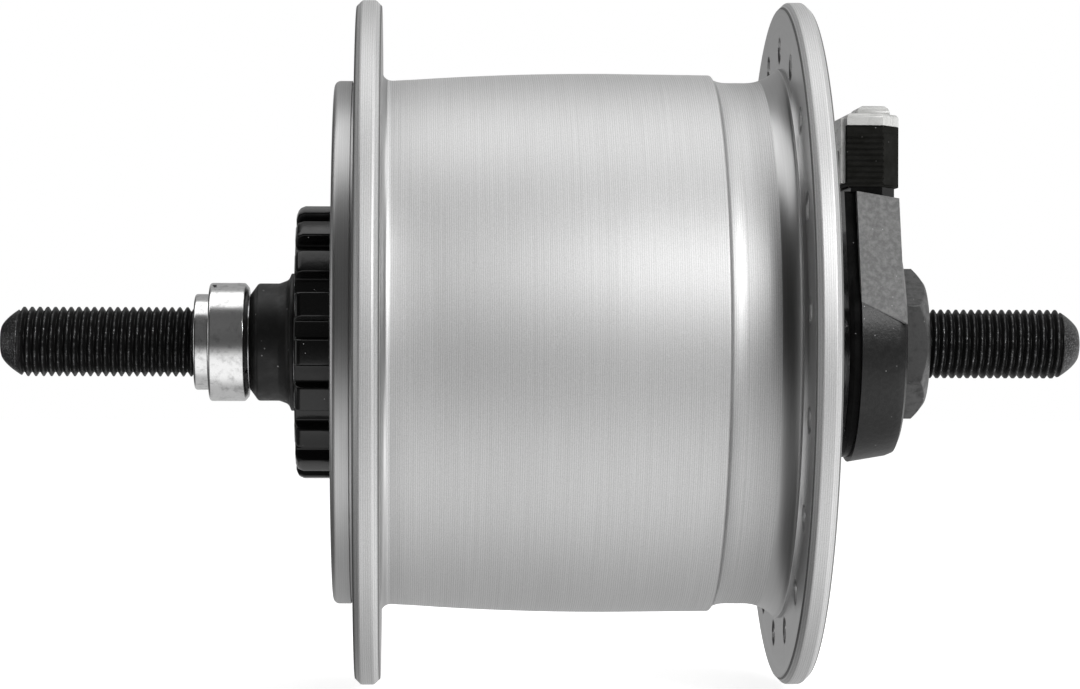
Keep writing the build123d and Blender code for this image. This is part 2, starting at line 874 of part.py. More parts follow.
def make_terminal_base():
    """Black inner half of the connector: closes the housing and carries the plug's tongue."""
    radius = housing_diameter / 2 - base_inset
    disc = turned(
        (base_x, 0),
        (base_x, radius - base_edge),
        (base_x + base_edge, radius),
        (housing_x, radius),
        (housing_x, 0),
    )
    upright = neck(base_x, housing_x, radius - base_edge, radius, 0.0, neck_height)
    shelf_low = neck_height
    shelf_plan = plug_outline(plug_width, -shelf_inset)
    shelf = extrude(Plane.XY.offset(shelf_low) * shelf_plan, amount=shelf_height)
    tongue = block(
        housing_x,
        pocket_floor_x,
        -tongue_half_width,
        tongue_half_width,
        shelf_low,
        shelf_low + shelf_height + tongue_height,
    )
    hollow = ring(base_x - overrun, housing_x + overrun, 0, sleeve_diameter / 2 + part_clearance)
    slots = [
        block(
            contact_x - part_clearance,
            pocket_floor_x + overrun / 4,
            y - contact_width / 2 - part_clearance,
            y + contact_width / 2 + part_clearance,
            shelf_low - overrun,
            shelf_low + shelf_height + tongue_height + overrun,
        )
        for y in contact_places()
    ]
    return (disc + upright + shelf + tongue) - hollow - slots


def make_sleeve():
    """Metal sleeve that carries the nut's load past the plastic, slotted for the lead."""
    sleeve = ring(base_x, contact_x, nut_bore_radius, sleeve_diameter / 2)
    half_slot = lead_groove_width / 2
    return sleeve - block(housing_x, contact_x + overrun, -half_slot, half_slot, 0, sleeve_diameter)


def contact_top():
    """Height of the contacts' tips on the tongue."""
    return neck_height + shelf_height + tongue_height - contact_thickness


def make_earth_contact():
    """Stamped ring on the axle with a blade that stands up on the tongue."""
    y = contact_places()[0]
    tag = ring(contact_x, pocket_floor_x, nut_bore_radius, sleeve_diameter / 2)
    blade = block(
        contact_x,
        pocket_floor_x,
        y - contact_width / 2,
        y + contact_width / 2,
        sleeve_diameter / 2 - contact_width,
        contact_top(),
    )
    return tag + blade


def make_signal_contact():
    """Blade that the winding's lead is joined to."""
    y = contact_places()[1]
    return block(
        contact_x,
        pocket_floor_x,
        y - contact_width / 2,
        y + contact_width / 2,
        contact_foot_height,
        contact_top(),
    )


def make_lead():
    """Insulated lead from the winding through the axle's groove to the signal contact."""
    start_x = coil_space_right_x - part_clearance - bobbin_wall - coil_gap
    start_z = core_diameter / 2 + part_clearance + bobbin_wall + coil_gap + lead_start_inset
    turn_x = coil_space_right_x + yoke_disc_thickness / 2
    rise_z = lead_height + lead_rise
    contact_y = contact_places()[1]
    end_z = rise_z + contact_y
    points = [
        (start_x, 0, start_z),
        (turn_x, 0, start_z),
        (turn_x, 0, lead_height),
        (lead_end_x, 0, lead_height),
        (lead_end_x, 0, rise_z),
        (lead_end_x, contact_y, end_z),
        (contact_x, contact_y, end_z),
    ]
    path = FilletPolyline(*points, radius=lead_bend_radius)
    section = Plane(origin=points[0], z_dir=(1, 0, 0)) * RegularPolygon(lead_diameter / 2, lead_sides)
    return sweep(section, path=path)


def make_plug():
    """Black plug that slips over the tongue, with ribbed sides for the fingers."""
    bottom = neck_height + shelf_height + part_clearance
    top = bottom + plug_height
    core = extrude(Plane.XY.offset(bottom) * plug_outline(plug_width - 2 * rib_depth), amount=plug_height)
    outer = extrude(Plane.XY.offset(bottom) * plug_outline(plug_width), amount=plug_height)
    half_width = plug_width / 2
    pitch = (plug_height - 2 * rib_margin) / rib_count
    valley = half_width - rib_depth
    zigzag = [(valley, bottom + rib_margin)]
    for index in range(rib_count):
        low = bottom + rib_margin + pitch * index
        zigzag += [(half_width, low + pitch / 2), (valley, low + pitch)]
    zigzag += [(0, top - rib_margin), (0, bottom + rib_margin)]
    back_x = base_x + plug_back_from_base
    ribs = along_x(zigzag, back_x, back_x + plug_depth)
    body = core + (outer & (ribs + mirror(ribs, about=Plane.XZ)))
    cavity = block(
        housing_x - tongue_clearance,
        pocket_floor_x + tongue_clearance,
        -tongue_half_width - tongue_clearance,
        tongue_half_width + tongue_clearance,
        bottom - overrun,
        neck_height + shelf_height + tongue_height + tongue_clearance,
    )
    wire_z = bottom + plug_height / 2
    wires = [
        Pos(back_x, y, wire_z) * Rot(0, 90, 0) * Cylinder(wire_hole_diameter / 2, 2 * overrun)
        for y in (-wire_slot_spacing / 2, wire_slot_spacing / 2)
    ]
    return body - cavity - wires


def make_plug_cap():
    """Light grey cap over the plug, with a back plate that has the two wire slots."""
    bottom = neck_height + shelf_height + part_clearance + plug_height + part_clearance
    top = bottom + cap_top_thickness
    plan = plug_outline(plug_width)
    lid = extrude(Plane.XY.offset(bottom) * plan, amount=cap_top_thickness)
    lid = fillet(lid.edges().group_by(Axis.Z)[-1], cap_edge)
    back_x = base_x + plug_back_from_base - part_clearance
    half_back = cap_back_width / 2
    back = block(
        back_x - cap_back_thickness,
        back_x,
        -half_back,
        half_back,
        bottom - cap_back_drop,
        top - cap_edge,
    )
    bridge = block(
        back_x - cap_back_thickness / 2,
        back_x + cap_top_thickness,
        -half_back,
        half_back,
        bottom,
        top - cap_edge,
    )
    slot_z = bottom - part_clearance - plug_height / 2
    slot_plane = Plane.YZ.offset(back_x - cap_back_thickness - overrun / 4)
    slots = [
        extrude(
            slot_plane * Pos(y, slot_z) * SlotOverall(wire_slot_width, wire_slot_height),
            amount=cap_back_thickness + overrun / 2,
        )
        for y in (-wire_slot_spacing / 2, wire_slot_spacing / 2)
    ]
    dome_x = base_x + plug_back_from_base + plug_depth / 2 + dome_offset
    dome = Pos(dome_x, 0, top + dome_height / 2 - cap_edge / 2) * Box(
        dome_length, dome_width, dome_height + cap_edge
    )
    dome = fillet(dome.edges().group_by(Axis.Z)[-1], dome_edge)
    return (lid + back + bridge + dome) - slots


def make_hex_nut():
    """Hexagon lock nut with one flat to the front and a bevelled outer face."""
    nut = Rot(hex_turn_degrees, 0, 0) * hexagon(washer_x, hex_across_flats, hex_thickness)
    corner_radius = hex_across_flats / math.sqrt(3)
    envelope = turned(
        (washer_x, nut_bore_radius),
        (washer_x, corner_radius),
        (right_face_x - hex_bevel_length, corner_radius),
        (right_face_x, hex_face_diameter / 2),
        (right_face_x, nut_bore_radius),
    )
    return nut & envelope


def make_parts():
    """Every sub-part by its name."""
    ball = make_ball()
    groove_x = seam_x - (spigot_length + seam_ring_width) / 2
    parts = {
        "axle": make_axle(),
        "left_lock_nut": make_left_lock_nut(),
        "left_cone_boot": make_boot(),
        "left_cone": make_left_cone(),
        "right_cone": make_right_cone(),
        "stator_core": make_stator_core(),
        "coil_bobbin": make_bobbin(),
        "coil_winding": make_coil(),
        "left_claw_yoke": make_claw_yoke(stator_left_x, 1, 0.0),
        "right_claw_yoke": make_claw_yoke(stator_right_x, -1, 360.0 / pole_count),
        "stator_clamp_nuts": make_clamp_nuts(),
        "stator_key": make_key(),
        "winding_lead": make_lead(),
        "spacer_sleeve": make_sleeve(),
        "earth_contact": make_earth_contact(),
        "signal_contact": make_signal_contact(),
        "terminal_base": make_terminal_base(),
        "connector_housing": make_housing(),
        "lock_washer": ring(housing_face_x, washer_x, nut_bore_radius, washer_diameter / 2),
        "right_lock_nut": make_hex_nut(),
        "hub_shell": make_hub_shell(),
        "shell_cap": make_shell_cap(),
        "shell_seam_ring": ring(
            groove_x + part_clearance,
            groove_x + seam_ring_width - part_clearance,
            shell_bore_radius - seam_ring_groove_depth,
            shell_bore_radius - part_clearance,
        ),
        "brake_spline_ring": make_spline_ring(),
        "left_bearing_cup": make_cup(left_ball_x, -1),
        "right_bearing_cup": make_cup(right_ball_x, 1),
        "left_lip_seal": ring(
            spline_x + part_clearance,
            spline_x + spline_web_thickness - part_clearance,
            seal_bore_radius,
            spline_bore_diameter / 2 - seat_clearance,
        ),
        "right_dust_seal": ring(
            cap_boss_x - cap_seal_depth + part_clearance,
            cap_boss_x,
            seal_bore_radius,
            cup_radius,
        ),
        "magnet_iron_ring": ring(
            stator_left_x, stator_right_x, iron_ring_bore_radius, iron_ring_radius
        ),
        "pole_magnets": make_magnets(),
        "left_bearing_balls": around(Pos(left_ball_x, 0, 0) * ball, balls_per_bearing),
        "left_ball_cage": make_cage(left_ball_x, -1),
        "right_bearing_balls": around(Pos(right_ball_x, 0, 0) * ball, balls_per_bearing),
        "right_ball_cage": make_cage(right_ball_x, 1),
        "connector_plug": make_plug(),
        "plug_cap": make_plug_cap(),
    }
    return parts


for part_name, part in make_parts().items():
    save(part_name, part)
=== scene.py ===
import logging
import math
from collections.abc import Callable, Mapping, Sequence
from dataclasses import dataclass, field
from enum import Enum
from typing import Any, Union

import bmesh
import bpy
from mathutils import Matrix, Vector


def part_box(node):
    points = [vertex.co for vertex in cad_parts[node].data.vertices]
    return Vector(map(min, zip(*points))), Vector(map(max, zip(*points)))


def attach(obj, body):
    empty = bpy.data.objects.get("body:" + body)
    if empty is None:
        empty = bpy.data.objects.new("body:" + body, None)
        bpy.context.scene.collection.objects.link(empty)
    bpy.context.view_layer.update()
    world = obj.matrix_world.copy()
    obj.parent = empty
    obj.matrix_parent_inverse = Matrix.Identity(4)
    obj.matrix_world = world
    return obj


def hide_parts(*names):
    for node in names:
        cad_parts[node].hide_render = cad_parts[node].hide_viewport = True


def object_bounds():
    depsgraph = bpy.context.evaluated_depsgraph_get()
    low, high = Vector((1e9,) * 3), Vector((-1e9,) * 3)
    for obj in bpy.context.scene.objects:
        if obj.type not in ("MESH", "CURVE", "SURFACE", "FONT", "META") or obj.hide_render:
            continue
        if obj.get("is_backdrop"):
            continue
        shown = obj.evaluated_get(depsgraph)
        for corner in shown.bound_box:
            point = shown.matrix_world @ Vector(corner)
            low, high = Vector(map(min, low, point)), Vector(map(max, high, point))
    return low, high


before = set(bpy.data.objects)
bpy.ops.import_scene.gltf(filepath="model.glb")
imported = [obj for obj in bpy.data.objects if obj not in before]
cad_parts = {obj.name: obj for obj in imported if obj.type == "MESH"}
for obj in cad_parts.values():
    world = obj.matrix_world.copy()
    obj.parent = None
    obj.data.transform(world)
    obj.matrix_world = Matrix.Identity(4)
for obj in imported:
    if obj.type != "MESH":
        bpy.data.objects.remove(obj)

# Hub dynamo for a bicycle front wheel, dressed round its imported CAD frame.
# Sizes are in millimetres here and are turned into metres where a mesh is made.

LOG = logging.getLogger("hub_scene")
MM = 0.001
Colour = tuple[float, float, float]
Ramp = tuple[float, float]
Number = Union[float, "Reading"]


class Body(Enum):
    """CAD bodies that pieces ride on."""

    AXLE = "axle_assembly"
    SHELL = "rotating_shell"
    PLUG = "plug"
    CAP = "cap"


class Blend(Enum):
    """Ways of laying one colour over another."""

    MIX = "MIX"
    MULTIPLY = "MULTIPLY"


@dataclass(frozen=True)
class Pattern:
    """Soft random pattern: its blobs for each millimetre, its finer layers and their weight."""

    per_mm: float
    layers: float = 2.0
    weight: float = 0.5


@dataclass(frozen=True)
class Marks:
    """Small scattered marks: their cells for each millimetre, their share of a cell and their strength."""

    per_mm: float
    share: float
    strength: float = 1.0


class Reading:
    """A socket that gives a number, with arithmetic that adds Math nodes."""

    def __init__(self, wiring: "Wiring", socket: bpy.types.NodeSocket) -> None:
        """Wrap a socket.

        Args:
            wiring: The nodes that the socket belongs to.
            socket: The output socket.
        """
        self.wiring = wiring
        self.socket = socket

    def math(self, operation: str, *others: Number, first: bool = True) -> "Reading":
        """Add one Math node.

        Args:
            operation: The Math node's operation.
            others: The other values.
            first: Whether this reading is the first value.

        Returns:
            The result as a reading.
        """
        values = (self, *others) if first else (*others, self)
        node = self.wiring.node("ShaderNodeMath", {"operation": operation}, dict(enumerate(values)))
        return Reading(self.wiring, node.outputs[0])

    def __add__(self, other: Number) -> "Reading":
        """Sum."""
        return self.math("ADD", other)

    __radd__ = __add__

    def __sub__(self, other: Number) -> "Reading":
        """Difference."""
        return self.math("SUBTRACT", other)

    def __rsub__(self, other: Number) -> "Reading":
        """Difference the other way round."""
        return self.math("SUBTRACT", other, first=False)

    def __mul__(self, other: Number) -> "Reading":
        """Product."""
        return self.math("MULTIPLY", other)

    __rmul__ = __mul__

    def __gt__(self, other: Number) -> "Reading":
        """One where this is larger, and zero elsewhere."""
        return self.math("GREATER_THAN", other)

    def __lt__(self, other: Number) -> "Reading":
        """One where this is smaller, and zero elsewhere."""
        return self.math("LESS_THAN", other)

    def most(self, other: Number) -> "Reading":
        """Larger of two values."""
        return self.math("MAXIMUM", other)

    def size(self) -> "Reading":
        """Value without its sign."""
        return self.math("ABSOLUTE")

    def sine(self) -> "Reading":
        """Sine of an angle in radians."""
        return self.math("SINE")

    def step(self, low: float, high: float) -> "Reading":
        """Smooth rise from zero to one.

        Args:
            low: Where the rise starts.
            high: Where it ends.

        Returns:
            The smoothed value.
        """
        settings = {"interpolation_type": "SMOOTHSTEP"}
        inputs = {"Value": self, "From Min": low, "From Max": high}
        return Reading(self.wiring, self.wiring.node("ShaderNodeMapRange", settings, inputs).outputs[0])


class Wiring:
    """Node tree that nodes are added to."""

    def __init__(self, tree: bpy.types.NodeTree) -> None:
        """Start with an empty tree.

        Args:
            tree: The node tree.
        """
        self.tree = tree
        self.tree.nodes.clear()

    def node(
        self, kind: str, settings: Mapping[str, Any] | None = None, inputs: Mapping[Any, Any] | None = None
    ) -> bpy.types.Node:
        """Add one node.

        Args:
            kind: The node's type.
            settings: Its properties, which are set first.
            inputs: The values or links of its sockets, by name or place.

        Returns:
            The node.
        """
        node = self.tree.nodes.new(kind)
        for key, setting in (settings or {}).items():
            setattr(node, key, setting)
        for key, given in (inputs or {}).items():
            self.feed(node.inputs[key], given)
        return node

    def feed(self, socket: bpy.types.NodeSocket, given: Any) -> None:
        """Set or link one socket.

        Args:
            socket: The input socket.
            given: A reading, a socket, a number, a colour or a vector.
        """
        if isinstance(given, Reading):
            self.tree.links.new(given.socket, socket)
        elif isinstance(given, bpy.types.NodeSocket):
            self.tree.links.new(given, socket)
        elif socket.type == "RGBA":
            socket.default_value = (*given[:3], 1.0)
        else:
            socket.default_value = given


class Surface(Wiring):
    """Node material of one finish."""

    speck_core = 0.6
    line_pattern = Pattern(1.0, 3.0, 0.6)

    def __init__(self, name: str) -> None:
        """Start a material with a Principled shader.

        Args:
            name: Name of the material.
        """
        self.material = bpy.data.materials.new(name)
        self.material.use_nodes = True
        super().__init__(self.material.node_tree)
        self.shader = self.node("ShaderNodeBsdfPrincipled")
        output = self.node("ShaderNodeOutputMaterial")
        self.tree.links.new(self.shader.outputs[0], output.inputs[0])

    def place(self) -> bpy.types.NodeSocket:
        """Place on the object in millimetres, in the shared frame."""
        where = self.node("ShaderNodeTexCoord").outputs["Object"]
        inputs = {0: where, "Scale": 1.0 / MM}
        return self.node("ShaderNodeVectorMath", {"operation": "SCALE"}, inputs).outputs[0]

    def axes(self) -> tuple[Reading, Reading, Reading]:
        """Place on the object as three readings: x, y and z in millimetres."""
        node = self.node("ShaderNodeSeparateXYZ", None, {0: self.place()})
        return tuple(Reading(self, output) for output in node.outputs)

    def radial(self) -> tuple[Reading, Reading, bpy.types.NodeSocket]:
        """Place measured round the axle.

        Returns:
            x along the axle, the radius, and the unit direction from the axle.
        """
        x, y, z = self.axes()
        flat = self.node("ShaderNodeCombineXYZ", None, {1: y, 2: z}).outputs[0]
        length = self.node("ShaderNodeVectorMath", {"operation": "LENGTH"}, {0: flat}).outputs["Value"]
        direction = self.node("ShaderNodeVectorMath", {"operation": "NORMALIZE"}, {0: flat}).outputs[0]
        return x, Reading(self, length), direction

    def noise(self, where: bpy.types.NodeSocket, pattern: Pattern) -> Reading:
        """Soft random value between zero and one.

        Args:
            where: Place in millimetres.
            pattern: The pattern that it follows.

        Returns:
            The value.
        """
        settings = {"noise_dimensions": "3D"}
        inputs = {
            "Vector": where,
            "Scale": pattern.per_mm,
            "Detail": pattern.layers,
            "Roughness": pattern.weight,
        }
        return Reading(self, self.node("ShaderNodeTexNoise", settings, inputs).outputs[0])

    def specks(self, where: bpy.types.NodeSocket, marks: Marks) -> Reading:
        """Small scattered marks.

        Args:
            where: Place in millimetres.
            marks: The marks.

        Returns:
            The marks' strength on a mark, and zero elsewhere.
        """
        inputs = {"Vector": where, "Scale": marks.per_mm, "Randomness": 1.0}
        cells = self.node("ShaderNodeTexVoronoi", {"feature": "F1"}, inputs)
        distance = Reading(self, cells.outputs["Distance"])
        return (1.0 - distance.step(marks.share * self.speck_core, marks.share)) * marks.strength

    def lines(self, across: float, along: float) -> Reading:
        """Turning lines that run round the axle.

        Args:
            across: Lines for each millimetre along the axle or the radius.
            along: How quickly a line changes on its way round.

        Returns:
            A value between zero and one.
        """
        x, radius, direction = self.radial()
        station = self.node("ShaderNodeCombineXYZ", None, {0: x * across, 1: radius * across}).outputs[0]
        inputs = {0: direction, "Scale": along}
        turn = self.node("ShaderNodeVectorMath", {"operation": "SCALE"}, inputs).outputs[0]
        where = self.node("ShaderNodeVectorMath", {"operation": "ADD"}, {0: station, 1: turn}).outputs[0]
        return self.noise(where, self.line_pattern)

    def colour(
        self, factor: Number, first: Any, second: Any, blend: Blend = Blend.MIX
    ) -> bpy.types.NodeSocket:
        """Colour between two colours.

        Args:
            factor: Zero for the first colour and one for the second.
            first: The first colour.
            second: The second colour.
            blend: How the second is laid over the first.

        Returns:
            The colour's socket.
        """
        settings = {"data_type": "RGBA", "blend_type": blend.value}
        return self.node("ShaderNodeMix", settings, {0: factor, 6: first, 7: second}).outputs[2]

    def relief(self, height: Reading, depth: float) -> None:
        """Raise the surface a little for its shading.

        Args:
            height: Height between zero and one.
            depth: Height of one, in millimetres.
        """
        inputs = {"Height": height, "Distance": depth * MM, "Strength": 1.0}
        bump = self.node("ShaderNodeBump", None, inputs)
        self.tree.links.new(bump.outputs[0], self.shader.inputs["Normal"])

    def finish(self, **inputs: Any) -> bpy.types.Material:
        """Set the shader's own sockets.

        Args:
            inputs: Values or links, with spaces in the sockets' names as underscores.

        Returns:
            The finished material.
        """
        names = {socket.name.lower().replace(" ", "_"): socket for socket in self.shader.inputs}
        for key, given in inputs.items():
            self.feed(names[key], given)
        return self.material


@dataclass(frozen=True)
class TurnedAluminium:
    """Satin aluminium, finely grooved by the lathe on its barrel and rims."""

    colour: Colour = (0.66, 0.66, 0.66)
    shade: Colour = (0.49, 0.49, 0.49)
    land: Colour = (0.86, 0.86, 0.86)
    line: Colour = (0.2, 0.2, 0.2)
    roughness: float = 0.56
    land_roughness: float = 0.31
    roughness_spread: float = 0.1
    flank_high: float = -24.3
    flank_share: float = 0.35
    barrel_low: float = -20.2
    barrel_high: float = 27.6
    barrel_reach: float = 36.0
    rim_radius: float = 43.3
    line_start: float = 0.1
    line_end: float = 0.32
    lines_per_mm: float = 5.4
    line_turn: float = 1.2
    line_share: float = 0.3
    line_depth: float = 0.003
    line_relief: float = 0.6
    coarse_per_mm: float = 0.35
    coarse_turn: float = 1.5
    coarse_share: float = 0.35
    coarse_least: float = 0.05
    grain: Pattern = Pattern(8.0, 2.0, 0.6)
    grain_relief: float = 0.4
    grain_share: float = 0.62
    drift: Pattern = Pattern(0.9, 3.0, 0.6)
    drift_ramp: Ramp = (0.3, 0.6)
    groove_pitch: float = 0.27
    groove_drift: float = 0.12
    groove_share: float = 0.14
    tone_ramp: Ramp = (0.25, 0.72)

    def grooved(self, x: Reading, radius: Reading) -> Reading:
        """Where the metal is finely grooved.

        Args:
            x: Place along the axle.
            radius: Distance from the axle.

        Returns:
            One on the barrel and the rims, less on the outer flank and zero on the other faces.
        """
        inside = radius < self.barrel_reach
        barrel = (x > self.barrel_low) * (x < self.barrel_high) * inside
        flank = (x < self.flank_high) * inside
        return barrel.most(radius > self.rim_radius).most(flank * self.flank_share)

    def material(self, name: str) -> bpy.types.Material:
        """Make the material.

        Args:
            name: Name of the material.

        Returns:
            The material.
        """
        surface = Surface(name)
        where = surface.place()
        x, radius, _ = surface.radial()
        fine = surface.lines(self.lines_per_mm, self.line_turn)
        coarse = surface.lines(self.coarse_per_mm, self.coarse_turn)
        grain = surface.noise(where, self.grain)
        drift = surface.noise(where, self.drift)
        wave = ((x + drift * self.groove_drift) * (2 * math.pi / self.groove_pitch)).sine()
        grooved = self.grooved(x, radius)
        land = 1.0 - grooved
        grooves = wave * grooved * drift.step(*self.drift_ramp) * self.groove_share
        lines = fine * self.line_share + coarse * (land * self.coarse_share + self.coarse_least)
        tone = (lines + grain * (grooved * self.grain_share) + grooves).step(*self.tone_ramp)
        plain = surface.colour(tone, self.shade, self.colour)
        metal = surface.colour(land, plain, self.land, Blend.MULTIPLY)
        line = (radius > self.rim_radius + self.line_start) * (radius < self.rim_radius + self.line_end)
        rough = self.land_roughness + grooved * (self.roughness - self.land_roughness)
        surface.relief(fine * self.line_relief + grain * self.grain_relief, self.line_depth)
        return surface.finish(
            base_color=surface.colour(line, metal, self.line),
            metallic=1.0,
            roughness=rough + (grain - 0.5) * self.roughness_spread,
        )


@dataclass(frozen=True)
class PolishedSteel:
    """Bright plated steel with a few dark nicks."""

    colour: Colour = (0.74, 0.74, 0.74)
    stain: Colour = (0.48, 0.48, 0.48)
    nick: Colour = (0.02, 0.02, 0.02)
    roughness: float = 0.13
    stain_roughness: float = 0.14
    nick_roughness: float = 0.4
    stains: Pattern = Pattern(0.9, 4.0, 0.65)
    stain_ramp: Ramp = (0.45, 0.75)
    nicks: Marks = Marks(0.42, 0.16)
    nick_depth: float = 0.03
    lines_per_mm: float = 5.0
    line_turn: float = 1.5
    line_share: float = 0.05

    def material(self, name: str) -> bpy.types.Material:
        """Make the material.

        Args:
            name: Name of the material.

        Returns:
            The material.
        """
        surface = Surface(name)
        where = surface.place()
        cloud = surface.noise(where, self.stains)
        nicks = surface.specks(where, self.nicks)
        lines = surface.lines(self.lines_per_mm, self.line_turn)
        plain = surface.colour(cloud.step(*self.stain_ramp), self.colour, self.stain)
        surface.relief(1.0 - nicks + lines * self.line_share, self.nick_depth)
        return surface.finish(
            base_color=surface.colour(nicks, plain, self.nick),
            metallic=1.0,
            roughness=self.roughness + cloud * self.stain_roughness + nicks * self.nick_roughness,
        )


@dataclass(frozen=True)
class BlackThread:
    """Black oxide, rubbed bright on the crests of the thread and on the tips."""

    crest_radius: float
    tip_start: float
    colour: Colour = (0.018, 0.018, 0.018)
    worn: Colour = (0.42, 0.42, 0.43)
    metallic: float = 0.85
    roughness: float = 0.42
    worn_gloss: float = 0.12
    patch_roughness: float = 0.06
    crest_low: float = 0.12
    crest_high: float = 0.02
    tip_fade: float = 0.8
    patches: Pattern = Pattern(1.6, 4.0, 0.7)
    patch_ramp: Ramp = (0.42, 0.62)
    patch_wear: float = 0.07
    flecks: Pattern = Pattern(6.0, 2.0, 0.6)
    fleck_ramp: Ramp = (0.5, 0.66)
    fleck_wear: float = 0.45
    tip_wear: float = 0.3
    tip_least: float = 0.03
    grain: Pattern = Pattern(7.0, 3.0, 0.6)
    grain_depth: float = 0.03

    def material(self, name: str) -> bpy.types.Material:
        """Make the material.

        Args:
            name: Name of the material.

        Returns:
            The material.
        """
        surface = Surface(name)
        where = surface.place()
        x, radius, _ = surface.radial()
        crest = radius.step(self.crest_radius - self.crest_low, self.crest_radius - self.crest_high)
        tip = x.size().step(self.tip_start, self.tip_start + self.tip_fade)
        patch = surface.noise(where, self.patches).step(*self.patch_ramp)
        fleck = surface.noise(where, self.flecks).step(*self.fleck_ramp)
        crest_wear = crest * (patch * self.patch_wear + patch * fleck * self.fleck_wear)
        wear = crest_wear.most(tip * (fleck * self.tip_wear + self.tip_least))
        surface.relief(surface.noise(where, self.grain), self.grain_depth)
        return surface.finish(
            base_color=surface.colour(wear, self.colour, self.worn),
            metallic=self.metallic,
            roughness=self.roughness - wear * self.worn_gloss + patch * self.patch_roughness,
        )


@dataclass(frozen=True)
class MouldedPlastic:
    """Moulded plastic with a fine grain and a little dust."""

    colour: Colour
    light: Colour
    roughness: float = 0.45
    specular: float = 0.5
    grain_depth: float = 0.012
    grain: Pattern = Pattern(5.0, 3.0, 0.6)
    grain_share: float = 0.4
    clouds: Pattern = Pattern(0.5, 3.0, 0.6)
    cloud_share: float = 0.6
    cloud_roughness: float = 0.12
    tone_ramp: Ramp = (0.35, 0.7)
    dust: Colour = (0.6, 0.6, 0.6)
    dust_marks: Marks = Marks(0.8, 0.07, 0.35)

    def material(self, name: str) -> bpy.types.Material:
        """Make the material.

        Args:
            name: Name of the material.

        Returns:
            The material.
        """
        surface = Surface(name)
        where = surface.place()
        grain = surface.noise(where, self.grain)
        cloud = surface.noise(where, self.clouds)
        dust = surface.specks(where, self.dust_marks)
        mottle = (grain * self.grain_share + cloud * self.cloud_share).step(*self.tone_ramp)
        surface.relief(grain, self.grain_depth)
        return surface.finish(
            base_color=surface.colour(dust, surface.colour(mottle, self.colour, self.light), self.dust),
            roughness=self.roughness + (cloud - 0.5) * self.cloud_roughness,
            specular_ior_level=self.specular,
        )


@dataclass(frozen=True)
class HousingPlastic:
    """Grey moulded plastic: grained and lighter on the neck, smoother on the round."""

    start_x: float
    neck_foot: float = 5.3
    foot_slope: float = 0.47
    foot_blur: float = 0.1
    neck: Colour = (0.095, 0.095, 0.095)
    neck_light: Colour = (0.155, 0.155, 0.154)
    rim: Colour = (0.005, 0.005, 0.005)
    roughness: float = 0.34
    neck_roughness: float = 0.2
    grain_roughness: float = 0.1
    specular: float = 0.22
    mottle: Pattern = Pattern(1.5, 5.0, 0.7)
    mottle_ramp: Ramp = (0.35, 0.68)
    rim_mottle: float = 0.06
    grain: Pattern = Pattern(8.0, 2.0, 0.6)
    rim_grain: float = 0.04
    grain_depth: float = 0.02
    dust: Colour = (0.5, 0.5, 0.5)
    dust_marks: Marks = Marks(0.7, 0.06, 0.5)

    def material(self, name: str) -> bpy.types.Material:
        """Make the material.

        Args:
            name: Name of the material.

        Returns:
            The material.
        """
        surface = Surface(name)
        where = surface.place()
        x, _, z = surface.axes()
        foot = self.neck_foot - (x - self.start_x) * self.foot_slope
        on_neck = (z - foot).step(-self.foot_blur, self.foot_blur)
        mottle = surface.noise(where, self.mottle).step(*self.mottle_ramp)
        grain = surface.noise(where, self.grain)
        dust = surface.specks(where, self.dust_marks)
        neck = surface.colour(mottle, self.neck, self.neck_light)
        rim = surface.colour(mottle * self.rim_mottle + grain * self.rim_grain, self.rim, self.neck)
        surface.relief(grain * 0.5 + mottle * 0.5, self.grain_depth)
        rough = self.roughness + on_neck * self.neck_roughness
        return surface.finish(
            base_color=surface.colour(dust, surface.colour(on_neck, rim, neck), self.dust),
            roughness=rough + (grain - 0.5) * self.grain_roughness,
            specular_ior_level=self.specular,
        )


@dataclass(frozen=True)
class BlackEnamel:
    """Glossy black paint with small chips and dust."""

    colour: Colour = (0.004, 0.004, 0.004)
    chip: Colour = (0.55, 0.55, 0.55)
    roughness: float = 0.12
    haze_roughness: float = 0.14
    specular: float = 0.4
    chips: Marks = Marks(1.1, 0.09)
    patches: Pattern = Pattern(0.35)
    patch_ramp: Ramp = (0.5, 0.6)
    haze: Pattern = Pattern(0.8, 4.0, 0.65)
    haze_depth: float = 0.02

    def material(self, name: str) -> bpy.types.Material:
        """Make the material.

        Args:
            name: Name of the material.

        Returns:
            The material.
        """
        surface = Surface(name)
        where = surface.place()
        chips = surface.specks(where, self.chips)
        haze = surface.noise(where, self.haze)
        patchy = surface.noise(where, self.patches).step(*self.patch_ramp)
        surface.relief(haze, self.haze_depth)
        return surface.finish(
            base_color=surface.colour(chips * patchy, self.colour, self.chip),
            metallic=0.0,
            roughness=self.roughness + haze * self.haze_roughness,
            specular_ior_level=self.specular,
        )


